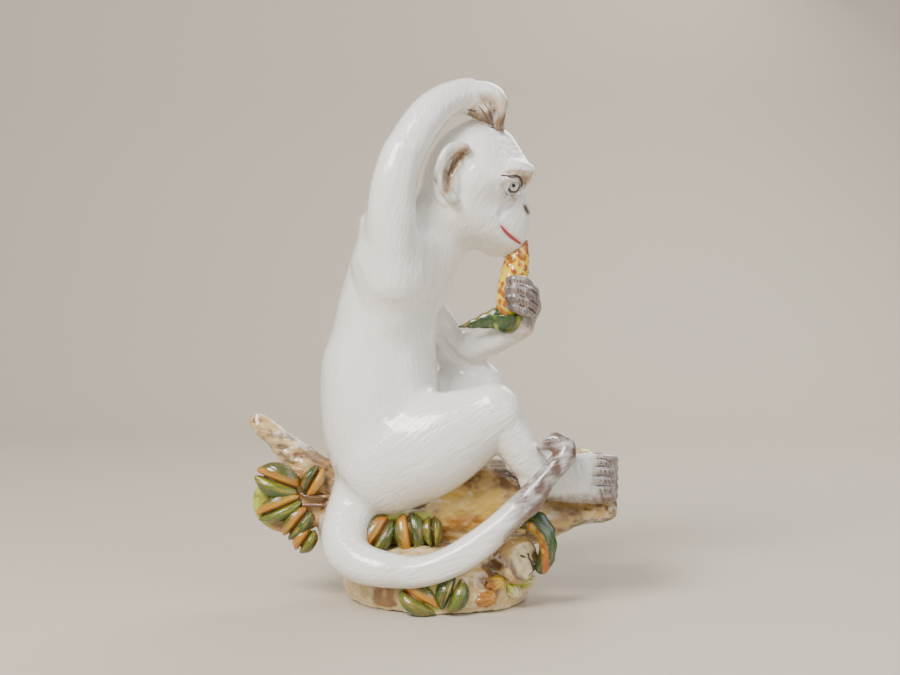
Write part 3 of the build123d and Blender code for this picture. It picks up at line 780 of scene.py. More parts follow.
def relief_group() -> bpy.types.NodeTree:
    """Fine strokes in the clay under the glaze, and the glaze's own slight waves, as a height.

    Returns:
        The group.
    """
    group = new_group(
        "clay_relief",
        [
            ("Stroke size", NUMBER_SOCKET, 0.5),
            ("Wave size", NUMBER_SOCKET, 0.08),
            ("Wave", NUMBER_SOCKET, 0.5),
        ],
        [("Height", NUMBER_SOCKET)],
    )
    w = Wiring(group)
    given, grain = group.nodes["in"].outputs, w.attribute("grain")["Vector"]
    fine = w.add("TexNoise", {"Detail": 3, "Roughness": 0.55, "Vector": grain, "Scale": given["Stroke size"]})
    broad = w.add("TexNoise", {"Detail": 2, "Vector": grain, "Scale": given["Wave size"]})
    height = w.maths("MULTIPLY_ADD", broad.outputs["Fac"], given["Wave"], fine.outputs["Fac"])
    shown = w.maths("MULTIPLY", height, w.attribute("rough")["Fac"])
    w.link(shown, group.nodes["out"].inputs["Height"])
    return group


@dataclass(frozen=True)
class Glaze:
    """A fired glaze over painted clay."""

    name: str
    ground: Colour
    roughness: float = 0.12
    grain_size: float = 0.6
    grain_break: float = 0.5
    stroke_size: float = 0.55
    relief: float = 0.25
    wave_size: float = 0.08
    wave: float = 0.6
    mottle: float = 0.0
    mottle_colour: Colour = (0.5, 0.35, 0.15)
    mottle_size: float = 0.12

    def material(self, groups: dict[str, bpy.types.NodeTree]) -> bpy.types.Material:
        """Build the glaze as a material.

        Args:
            groups: The shared node groups by name.

        Returns:
            The material.
        """
        mat = bpy.data.materials.new(self.name)
        mat.use_nodes = True
        w = Wiring(mat.node_tree)
        w.nodes.clear()
        ground = (*self.ground, 1)
        if self.mottle > 0:
            grain = w.attribute("grain")["Vector"]
            cloud = w.add(
                "TexNoise", {"Scale": self.mottle_size, "Detail": 6, "Roughness": 0.62, "Vector": grain}
            )
            patch = w.add(
                "MapRange",
                {"From Min": 0.45, "From Max": 0.68, "To Max": self.mottle, "Value": cloud.outputs["Fac"]},
            )
            ground = w.mix(patch.outputs["Result"], ground, (*self.mottle_colour, 1))
        wash = w.add(
            "Group",
            {"Grain size": self.grain_size, "Break": self.grain_break, "Ground": ground},
            tree=groups["wash"],
        )
        relief = w.add(
            "Group",
            {"Stroke size": self.stroke_size, "Wave size": self.wave_size, "Wave": self.wave},
            tree=groups["relief"],
        )
        bump = w.add("Bump", {"Strength": self.relief, "Distance": 0.001, "Height": relief.outputs["Height"]})
        body = w.add(
            "BsdfPrincipled",
            {
                "Roughness": self.roughness,
                "IOR": 1.5,
                "Coat Weight": 0.7,
                "Coat Roughness": 0.04,
                "Base Color": wash.outputs["Color"],
                "Normal": bump.outputs["Normal"],
            },
        )
        w.add("OutputMaterial", {"Surface": body.outputs["BSDF"]})
        return mat


class Brush(Enum):
    """What a painted line is drawn with."""

    DARK = "dark_brown"
    RED = "lip_red"


WHITE = Glaze(
    "white_tin_glaze", (0.9, 0.89, 0.86), roughness=0.13, grain_size=0.5, grain_break=0.55,
    stroke_size=0.42, relief=0.8,
)
EYE = Glaze("eye_glaze", (0.85, 0.84, 0.8), roughness=0.08, grain_break=0.05, relief=0.02)
LINE = Glaze("painted_line_glaze", (0.055, 0.03, 0.02), roughness=0.15, relief=0.1)
LIP = Glaze("lip_red_glaze", (0.42, 0.03, 0.04), roughness=0.12, relief=0.08)
BARK = Glaze(
    "bark_glaze", (0.56, 0.35, 0.1), roughness=0.18, grain_size=0.4, grain_break=0.9,
    stroke_size=0.5, relief=0.8, mottle=0.95, mottle_colour=(0.2, 0.07, 0.01), mottle_size=0.1,
)
ROCK = Glaze(
    "rock_glaze", (0.56, 0.36, 0.12), roughness=0.18, grain_size=0.4, grain_break=0.9,
    stroke_size=0.4, relief=0.7, mottle=0.95, mottle_colour=(0.22, 0.085, 0.015), mottle_size=0.09,
)
LEAF = Glaze(
    "leaf_glaze", (0.72, 0.42, 0.1), roughness=0.16, grain_size=0.5, grain_break=0.6,
    stroke_size=0.7, relief=0.35,
)
FRUIT = Glaze("fruit_glaze", (0.8, 0.55, 0.01), roughness=0.12, grain_size=0.7, grain_break=0.5, relief=0.15)

MAUVE = (0.135, 0.085, 0.072)
TAN = (0.45, 0.3, 0.14)
BROWN = (0.13, 0.055, 0.02)
DARK = (0.045, 0.028, 0.022)
OCHRE = (0.38, 0.14, 0.01)
ORANGE = (0.45, 0.12, 0.004)
CREAM = (0.78, 0.64, 0.36)
GREEN = (0.022, 0.06, 0.012)
OLIVE = (0.085, 0.13, 0.012)
GOLD = (0.46, 0.2, 0.012)
LIME = (0.42, 0.5, 0.04)
YELLOW = (0.72, 0.46, 0.03)
IVORY = (0.8, 0.79, 0.73)


@dataclass
class Picture:
    """Where points fall in the photograph, in pixels."""

    u: np.ndarray
    v: np.ndarray

    def distance(self, route: Sequence[Pixel]) -> np.ndarray:
        """Distance in pixels to a line through pixels.

        Args:
            route: Pixels along the line.

        Returns:
            A distance for each point.
        """
        p = np.stack([self.u, self.v], 1)
        best = np.full(len(p), UNREACHED)
        for start, end in zip(route[:-1], route[1:]):
            best = np.minimum(best, segment_distance(p, start, end)[0])
        return best

    def beside(self, route: Sequence[Pixel], full: float, none: float) -> np.ndarray:
        """Strength 1 within full pixels of a line, fading to 0 at none."""
        return 1 - ease(self.distance(route), full, none)

    def inside(self, outline: Sequence[Pixel], soft: float) -> np.ndarray:
        """Strength 1 inside an outline, fading over soft pixels outside it.

        Args:
            outline: Pixels round the area.
            soft: Width of the fade in pixels.

        Returns:
            A strength for each point.
        """
        hit = np.zeros(len(self.u), bool)
        closed = [*outline, outline[0]]
        for (ax, ay), (bx, by) in zip(closed[:-1], closed[1:]):
            if ay != by:
                level = (ay > self.v) != (by > self.v)
                hit ^= level & (self.u < (bx - ax) * (self.v - ay) / (by - ay) + ax)
        return np.where(hit, 1.0, self.beside(closed, 0, soft))


@dataclass
class Camera:
    """The photograph's viewing angle. Its frame is 900 by 675."""

    place: Point = (8, -870, 196)
    tilt: float = -2.3
    lens: float = 56.0
    sensor: float = 36.0
    width: int = 900
    height: int = 675

    def build(self) -> None:
        """Make the camera and use it."""
        data = bpy.data.cameras.new("view_camera")
        data.lens, data.sensor_width = self.lens, self.sensor
        data.clip_start, data.clip_end = 0.01, 20
        cam = bpy.data.objects.new("view_camera", data)
        cam.location = Vector(self.place) * MM
        cam.rotation_euler = (math.radians(90 + self.tilt), 0, 0)
        bpy.context.collection.objects.link(cam)
        bpy.context.scene.camera = cam

    def ray(self, u: float, v: float) -> tuple[Vector, Vector]:
        """Origin in mm and heading of the sight line through a pixel.

        Args:
            u: Pixels from the left.
            v: Pixels from the top.

        Returns:
            The origin and the heading.
        """
        reach = self.lens / self.sensor * self.width
        a, b = (u - self.width / 2) / reach, (self.height / 2 - v) / reach
        t = math.radians(self.tilt)
        heading = Vector((a, math.cos(t) - b * math.sin(t), math.sin(t) + b * math.cos(t)))
        return Vector(self.place), heading.normalized()

    def picture(self, points: np.ndarray) -> Picture:
        """Where places in mm fall in the photograph.

        Args:
            points: Places in mm, one a row.

        Returns:
            Their pixels.
        """
        reach = self.lens / self.sensor * self.width
        t = math.radians(self.tilt)
        d = points - np.array(self.place)
        depth = d[:, 1] * math.cos(t) + d[:, 2] * math.sin(t)
        rise = -d[:, 1] * math.sin(t) + d[:, 2] * math.cos(t)
        return Picture(self.width / 2 + reach * d[:, 0] / depth, self.height / 2 - reach * rise / depth)


@dataclass
class Studio:
    """A plain pale floor that sweeps up behind, and soft lights. Its sizes are metres."""

    floor_reach: float = 14.0
    sweep: float = 0.5
    sweep_steps: int = 12
    back: float = 0.9
    wall: float = 3.0
    floor_colour: Colour = (0.55, 0.48, 0.39)
    floor_roughness: float = 0.65
    looked_at: Point = (0.02, 0, 0.15)
    sky: Colour = (0.9, 0.95, 1.0)
    sky_strength: float = 0.5

    def build(self) -> None:
        """Make the floor, the lights and the world's light."""
        self.floor()
        self.lamp("key_light", (-0.75, -1.0, 1.25), 0.7, 44, (1.0, 0.97, 0.93))
        self.lamp("fill_light", (1.2, -0.9, 0.7), 1.1, 9, (0.93, 0.96, 1.0))
        self.lamp("rim_light", (0.6, 1.0, 1.1), 0.8, 13, (1.0, 0.98, 0.95))
        world = bpy.data.worlds.new("studio_world")
        world.use_nodes = True
        light = world.node_tree.nodes["Background"].inputs
        light["Color"].default_value, light["Strength"].default_value = (*self.sky, 1), self.sky_strength
        bpy.context.scene.world = world

    def floor(self) -> None:
        """Make the floor and backdrop in one sweep."""
        profile = [(-self.floor_reach, 0.0), (self.back, 0.0)]
        for step in range(1, self.sweep_steps + 1):
            turn = math.radians(90 * step / self.sweep_steps)
            profile.append((self.back + self.sweep * math.sin(turn), self.sweep * (1 - math.cos(turn))))
        profile.append((self.back + self.sweep, self.wall))
        points = [(x, y, z) for y, z in profile for x in (-self.floor_reach, self.floor_reach)]
        faces = [(2 * i, 2 * i + 1, 2 * i + 3, 2 * i + 2) for i in range(len(profile) - 1)]
        mesh = bpy.data.meshes.new("studio_floor")
        mesh.from_pydata(points, [], faces)
        mesh.polygons.foreach_set("use_smooth", [True] * len(faces))
        mat = bpy.data.materials.new("studio_floor")
        mat.use_nodes = True
        shader = mat.node_tree.nodes["Principled BSDF"].inputs
        shader["Base Color"].default_value = (*self.floor_colour, 1)
        shader["Roughness"].default_value = self.floor_roughness
        mesh.materials.append(mat)
        obj = bpy.data.objects.new("studio_floor", mesh)
        bpy.context.collection.objects.link(obj)

    def lamp(self, name: str, place: Point, size: float, power: float, colour: Colour) -> None:
        """Make one soft light that looks at the figurine.

        Args:
            name: The light's name.
            place: Where it stands.
            size: Its width.
            power: Its power in watts.
            colour: Its colour.
        """
        data = bpy.data.lights.new(name, "AREA")
        data.size, data.energy, data.color = size, power, colour
        obj = bpy.data.objects.new(name, data)
        obj.location = place
        obj.rotation_euler = (Vector(self.looked_at) - Vector(place)).to_track_quat("-Z", "Y").to_euler()
        bpy.context.collection.objects.link(obj)


class Sight:
    """Finds where sight lines of the photograph meet clay."""

    touch: float = 0.02
    least_step: float = 0.15
    caution: float = 0.7
    most_steps: int = 260

    def __init__(self, clays: list[Clay], camera: Camera) -> None:
        """Hold the clays and the camera."""
        self.clays, self.camera = clays, camera

    def distance(self, points: np.ndarray) -> np.ndarray:
        """Signed distance to the nearest of the clays.

        Args:
            points: Places in mm, one a row.

        Returns:
            Distances in mm.
        """
        out = np.full(len(points), UNREACHED)
        for clay in self.clays:
            q = points / clay.voxel - clay.start
            inside = ((q > 1) & (q < clay.shape - 2)).all(axis=1)
            out = np.minimum(out, np.where(inside, clay.sample(points), clay.far))
        return out

    def strike(self, pixels: Sequence[Pixel], near: float = -80, far: float = 80) -> np.ndarray:
        """First places in mm where the sight lines through pixels meet the clay between two depths.

        Args:
            pixels: Pixels of the photograph.
            near: Nearest depth, as a Y in mm.
            far: Farthest depth, as a Y in mm.

        Returns:
            A place for each pixel.
        """
        rays = [self.camera.ray(u, v) for u, v in pixels]
        start, heading = (np.array([tuple(ray[k]) for ray in rays]) for k in (0, 1))
        t = (near - start[:, 1]) / heading[:, 1]
        last = (far - start[:, 1]) / heading[:, 1]
        hit = np.zeros(len(t), bool)
        for _ in range(self.most_steps):
            d = self.distance(start + heading * t[:, None])
            hit |= d < self.touch
            t = np.where(hit, t, t + np.maximum(d * self.caution, self.least_step))
        places = start + heading * t[:, None]
        missed = ~hit | (t > last)
        if missed.any() and not missed.all():
            good = np.flatnonzero(~missed)
            for i in np.flatnonzero(missed):
                depth = places[good[np.argmin(np.abs(good - i))], 1]
                places[i] = start[i] + heading[i] * (depth - start[i, 1]) / heading[i, 1]
        return places

    def normals(self, places: np.ndarray, step: float = 0.8) -> np.ndarray:
        """Outward directions of the clay at places in mm."""
        shifts = np.eye(3) * step
        return unit(np.stack([self.distance(places + s) - self.distance(places - s) for s in shifts], 1))


def mirrored(points: np.ndarray) -> np.ndarray:
    """The same places on the figurine's far side."""
    return points * np.array((1, -1, 1))


def on_nodes(labels: np.ndarray, nodes: list[str], *names: str) -> np.ndarray:
    """Whether each label is the index of one of the named nodes."""
    return np.isin(labels, [nodes.index(name) for name in names])


@dataclass(frozen=True)
class Limb:
    """One cast node in the skin: how softly it joins the rest, and the slot it is listed under."""

    node: str
    soft: float
    slot: Slot = Slot.WHITE


@dataclass(frozen=True)
class Stroke:
    """A line pressed into or laid on the clay, given by pixels of the photograph."""

    pixels: tuple[Pixel, ...]
    radii: tuple[float, ...]
    lift: float
    soft: float = 1.5
    take: bool = False
    both: bool = True


def calm_borders(quads: np.ndarray, owner: np.ndarray, count: int, rings: int = 9) -> np.ndarray:
    """How much relief each point shows: none where two pieces meet, all of it some rings of quads away.

    Args:
        quads: The skin's quads.
        owner: Index of the piece that owns each quad.
        count: How many points the skin has.
        rings: How many rings of quads the relief takes to come in.

    Returns:
        A share for each point, from 0 to 1.
    """
    low = np.full(count, 255)
    high = np.zeros(count, int)
    for k in range(4):
        np.minimum.at(low, quads[:, k], owner)
        np.maximum.at(high, quads[:, k], owner)
    steps = np.where(low == high, rings, 0)
    for _ in range(rings):
        reach = steps[quads].min(axis=1) + 1
        for k in range(4):
            np.minimum.at(steps, quads[:, k], reach)
    return ease(steps.astype(float), 1, rings)


@dataclass
class MonkeySkin:
    """The monkey's one continuous glazed skin, made over its cast nodes."""

    camera: Camera
    voxel: float = 0.7
    low: Point = (-82, -66, 12)
    high: Point = (118, 66, 328)
    limbs: tuple[Limb, ...] = (
        Limb("torso", 0),
        Limb("right_leg", 12),
        Limb("left_leg", 12),
        Limb("tail", 8),
        Limb("head", 9),
        Limb("raised_arm", 14),
        Limb("feeding_arm", 10),
        Limb("right_ear", 2.5),
        Limb("left_ear", 2.5),
        Limb("raised_hand", 5, Slot.HAND),
        Limb("feeding_hand", 2.5, Slot.HAND),
        Limb("right_foot", 3),
        Limb("left_foot", 3),
    )
    fillers: tuple[Run, ...] = (
        (((-35, 0, 66), (-35, 0, 78)), (14, 14), 4),
        (((-16, 0, 196), (2, 0, 232)), (23, 22), 8),
        (((20, -10, 303), (29, -9, 300), (35, -7, 294), (36, -4, 290)), (3.5, 4.2, 3.6, 2.4), 5),
        (((-38, -20, 230), (-36, -24, 208), (-30, -27, 192)), (9, 11, 9), 10),
        (((-26, -27, 193), (-27, -25, 176)), (14, 10), 12),
        (((-14, -23, 216), (-14, -23, 194)), (9, 9), 10),
        (((15, -12, 307.5), (26, -8, 307.5), (34, -5, 303.5)), (8.2, 7.9, 6.4), 4),
        (((71, -48.5, 87.5), (76.5, -47, 93), (77, -46, 98), (73, -45, 101.5), (68.5, -44.5, 99)),
         (6.6, 6.0, 5.1, 4.4, 3.8), 1.5),
        (((54, 2.5, 168), (58.5, -1, 180), (57.5, -3, 189), (54, -4, 195)), (6.4, 5.6, 5.0, 3.8), 4),
        (((56, -6, 195), (52.5, -12, 196.8), (47.5, -14, 197.2), (43.8, -12, 196.8)),
         (3.0, 3.0, 2.9, 2.5), 0.7),
        (((58, -6, 189), (54, -13, 190.5), (48, -15, 191.6), (43, -13, 191.4)), (3.2, 3.2, 3.0, 2.6), 0.7),
        (((58.5, -6, 182.5), (54, -13, 183.8), (48, -15, 185.6), (43.4, -13, 186)),
         (3.2, 3.2, 3.0, 2.6), 0.7),
        (((57, -6, 176.5), (53, -12.5, 177.6), (48, -14.5, 179.8), (44.6, -12.5, 180.6)),
         (3.1, 3.1, 2.9, 2.5), 0.7),
        (((53, 6, 175), (46, 13, 182), (41, 12, 189)), (3.8, 3.5, 3.0), 2),
    )
    strokes: tuple[Stroke, ...] = (
        Stroke(((512, 167), (520, 168), (528, 171.5), (531.5, 176)), (1.4, 1.8, 2.1, 1.7), -1.1, 6.0),
        Stroke(((502, 184), (504, 179.5), (509, 177.5), (515, 178), (520, 181), (523, 186)),
               (1.2, 1.6, 1.9, 1.9, 1.7, 1.2), 0.0, 1.4),
        Stroke(((503, 189), (506, 193.5), (511, 196.5), (517, 195), (521, 190)),
               (1.0, 1.3, 1.5, 1.4, 1.1), -0.1, 1.6),
        Stroke(((499, 189), (503, 197), (511, 201), (517, 199)), (0.8, 1.3, 1.4, 0.9), -0.4, 2.5),
        Stroke(((524.5, 205), (526.5, 209), (528.5, 213)), (0.8, 1.2, 0.9), 0.0, 0.8, take=True),
        Stroke(((514, 200), (507, 206), (500, 215)), (0.9, 1.3, 0.9), 0.2, 2.5, take=True),
        Stroke(((500.5, 225.5), (505, 231), (510, 236), (521, 244)), (0.5, 0.8, 0.9, 0.8), 0.15, 1.0,
               take=True),
        Stroke(((462, 147), (453, 145), (444, 154), (439, 168), (437, 184), (440, 198), (446, 204)),
               (1.6, 2.1, 2.5, 2.6, 2.5, 2.3, 1.8), -0.6, 1.6),
        Stroke(((459, 155), (452, 164), (448, 176), (447, 187)), (1.8, 2.6, 2.8, 2.0), 0.6, 2.0, take=True),
        Stroke(((440, 338), (450, 350), (460, 360)), (0.8, 1.3, 0.8), 0.3, 3.0, take=True, both=False),
        Stroke(((592, 459), (604, 459), (612, 463)), (0.7, 0.8, 0.6), 0.1, 0.7, take=True, both=False),
        Stroke(((590, 467), (604, 466), (616, 469)), (0.7, 0.8, 0.6), 0.1, 0.7, take=True, both=False),
        Stroke(((590, 476), (604, 475.5), (617, 478)), (0.7, 0.8, 0.6), 0.1, 0.7, take=True, both=False),
        Stroke(((592, 486), (604, 485.5), (616, 487)), (0.7, 0.8, 0.6), 0.1, 0.7, take=True, both=False),
        Stroke(((503, 143), (510, 146), (515, 151)), (0.5, 0.7, 0.5), 0.3, 1.2, take=True),
        Stroke(((500, 149), (508, 152), (514, 158)), (0.5, 0.7, 0.5), 0.3, 1.2, take=True),
        Stroke(((498, 156), (506, 159), (511, 164)), (0.5, 0.7, 0.5), 0.3, 1.2, take=True),
        Stroke(((446, 348), (454, 356), (466, 362)), (0.8, 1.1, 0.6), 0.3, 3.0, take=True, both=False),
    )
    cuts: tuple[Run, ...] = (
        (((114, -52, 97), (114, -22, 97)), (7, 7), 3),
        (((114, 52, 92), (114, 22, 92)), (7, 7), 3),
        (((114, -52, 64), (114, -30, 64)), (4, 4), 3),
    )
    remade: str = "feeding_hand"
    reach: float = 14.5
    eye_centre: Point = (46.8, 14.1, 253.8)
    eye_radius: float = 6.2
    hair: tuple[tuple[str, Point], ...] = (
        ("raised_arm", (0.2, 0.1, 1.0)),
        ("feeding_arm", (0.55, -0.2, -0.4)),
        ("right_leg", (0.75, 0, 0.55)),
        ("left_leg", (0.75, 0, 0.55)),
        ("tail", (1.0, 0, 0.35)),
        ("head", (0.5, 0.0, 0.9)),
    )
    torso_hair: Point = (0.25, 0.0, -1.0)
    hair_stretch: float = 0.8
    owner: np.ndarray = field(default=None, repr=False)

    def eyeballs(self) -> Clay:
        """Both eyeballs as clay, which the lids are laid on.

        Returns:
            The clay.
        """
        x, y, z = self.eye_centre
        clay = Clay((x - 12, -y - 12, z - 12), (x + 12, y + 12, z + 12), self.voxel)
        for side in (-y, y):
            clay.stroke([(x, side, z), (x, side, z)], [self.eye_radius], 0)
        return clay

    def model(self) -> Clay:
        """Join the nodes and shape the face, ears and creases.

        Returns:
            The finished clay.
        """
        voxel = quick_voxel(self.voxel)
        clay = Clay(self.low, self.high, voxel, band=max(6, int(self.reach / voxel)))
        self.owner = clay.join([(limb.node, limb.soft) for limb in self.limbs], self.remade)
        for take, runs in ((False, self.fillers), (True, self.cuts)):
            for route, radii, soft in runs:
                clay.stroke(route, radii, soft, take)
        clay.fill_hollows()
        clay.smooth(2)
        sight = Sight([clay, self.eyeballs()], self.camera)
        laid = []
        for stroke in self.strokes:
            places = sight.strike(stroke.pixels)
            laid.append(places + sight.normals(places) * stroke.lift)
        for stroke, places in zip(self.strokes, laid):
            for side in (places, mirrored(places)) if stroke.both else (places,):
                route = resample(side, 3 * len(side))
                share, given = (np.linspace(0, 1, n) for n in (len(route), len(stroke.radii)))
                radii = np.interp(share, given, stroke.radii)
                clay.stroke([tuple(p) for p in route], list(radii), stroke.soft, stroke.take)
        clay.smooth(1)
        return clay

    def build(self, clay: Clay, finish: dict[Enum, bpy.types.Material]) -> None:
        """Cut the skin into its pieces and paint them.

        Args:
            clay: The modelled clay.
            finish: Materials by slot.
        """
        points, quads = clay.surface()
        normals = point_normals(points, quads)
        labels = clay.owner_at(self.owner, points)
        owner = labels[quads].max(axis=1)
        for k in range(4):
            labels[quads[:, k]] = owner
        pieces = [(limb.node, limb.slot, finish[Slot.WHITE]) for limb in self.limbs]
        rough = calm_borders(quads, labels[quads[:, 0]], len(points))
        paint = self.paint(points, normals, labels)
        cut_pieces((points, quads, normals), labels, pieces, paint, self.grain(points, labels), rough)

    def on(self, labels: np.ndarray, *names: str) -> np.ndarray:
        """Whether each point is on one of the named nodes."""
        return on_nodes(labels, [limb.node for limb in self.limbs], *names)

    def grain(self, points: np.ndarray, labels: np.ndarray) -> np.ndarray:
        """Coordinates stretched along each limb, which the hair strokes follow.

        Args:
            points: Places in mm, one a row.
            labels: Index of the node that owns each point.

        Returns:
            The stretched coordinates.
        """
        heading = np.tile(np.array(self.torso_hair), (len(points), 1))
        for name, axis in self.hair:
            heading[self.on(labels, name)] = axis
        heading = unit(heading)
        along = np.einsum("ij,ij->i", points, heading)
        return points - heading * along[:, None] * self.hair_stretch

    def paint(self, points: np.ndarray, normals: np.ndarray, labels: np.ndarray) -> Paint:
        """Lay the washes over the white glaze, with warm painted shade on the surfaces that face down.

        Args:
            points: The skin's points in mm.
            normals: Its normals.
            labels: Index of the node that owns each point.

        Returns:
            The paint.
        """
        p = Paint(len(points))
        near = points.copy()
        near[:, 1] = -np.abs(near[:, 1])
        seen, both = self.camera.picture(points), self.camera.picture(near)
        noise = lattice_noise(points, 14, 3)
        fine = lattice_noise(points, 5, 4)
        # Warm cream wash: a faint uneven tone all over, plus painted shade that grows on surfaces facing
        # down, standing for warm light bounced up from below.
        p.wash((0.72, 0.62, 0.4), 0.1 + 0.1 * noise + 0.3 * ease(-normals[:, 2], 0.1, 0.9))
        self.paint_head(p, both, self.on(labels, "head"), self.on(labels, "right_ear", "left_ear"))
        hand = self.on(labels, "raised_hand")
        under = ease(-normals[:, 2] - 0.4 * normals[:, 1], -0.5, 0.4)
        p.wash(TAN, 0.7 * hand * ease(seen.v, 88, 102) * under)
        p.wash(BROWN, 0.85 * hand * ease(seen.v + 3 * fine, 102, 122) * under)
        crown = self.on(labels, "head") * both.beside([(480, 121), (492, 124), (502, 130)], 1, 6)
        p.wash(BROWN, 0.6 * crown)
        feeding = self.on(labels, "feeding_hand")
        p.wash(MAUVE, feeding * (0.85 + 0.12 * noise))
        p.wash((0.42, 0.33, 0.28), feeding * 0.5 * ease(fine, 0.0, 0.7))
        tips = seen.distance([(509, 279), (508, 289), (508, 299), (511, 308)])
        p.wash(DARK, feeding * 0.7 * (1 - ease(tips + 1.5 * fine, 1, 4.5)))
        wrist = self.on(labels, "feeding_arm")
        p.wash(TAN, wrist * 0.8 * ease(seen.u + 3 * fine, 508, 524) * ease(-seen.v, -345, -325))
        feet = self.on(labels, "right_foot", "left_foot")
        p.wash(MAUVE, feet * (0.1 + 0.75 * ease(both.u + 3 * fine, 580, 608)))
        p.wash(BROWN, feet * 0.7 * ease(both.v + 2 * fine, 491, 500))
        tail = self.on(labels, "tail")
        p.wash(MAUVE, tail * ease(seen.u + 14 * noise, 482, 538) * np.clip(0.9 + 0.4 * fine, 0, 1))
        p.wash(BROWN, tail * ease(seen.u + 10 * fine, 520, 560) * ease(fine - noise, 0.0, 0.8) * 0.6)
        low = seen.distance([(505, 540), (530, 515), (552, 492)])
        p.wash(BROWN, tail * 0.7 * (1 - ease(low + 2 * fine, 1, 5)))
        return p

    def paint_head(self, p: Paint, both: Picture, head: np.ndarray, ear: np.ndarray) -> None:
        """Lay the washes in the ears, round the eyes, and on the lips and nostrils.

        Args:
            p: The skin's paint.
            both: Where the points fall in the photograph, the far side mirrored.
            head: Which points are on the head.
            ear: Which points are on the ears.
        """
        p.wash(MAUVE, 0.3 * ear)
        hollow = [(466, 151), (456, 161), (449, 173), (446, 190)]
        p.wash(TAN, 0.8 * ear * both.beside(hollow, 3, 9))
        p.wash(BROWN, 0.75 * ear * both.beside(hollow, 0.5, 5))
        brow = [(506, 172), (520, 170.5), (532, 173), (529, 180), (523, 184), (512, 175)]
        p.wash(TAN, 0.75 * head * both.inside(brow, 3))
        p.wash(BROWN, 0.55 * head * both.inside([(520, 178), (527, 177), (524, 187), (520, 191)], 3))
        p.wash(MAUVE, 0.4 * head * both.beside([(503, 179), (501, 190), (508, 199), (516, 197)], 1, 5))
        p.wash((0.5, 0.16, 0.12), 0.35 * head * both.beside([(501, 226), (510, 236), (521, 244)], 1, 5))
        p.wash(BROWN, 0.7 * head * both.beside([(525, 206), (528, 213)], 0.8, 3.5))


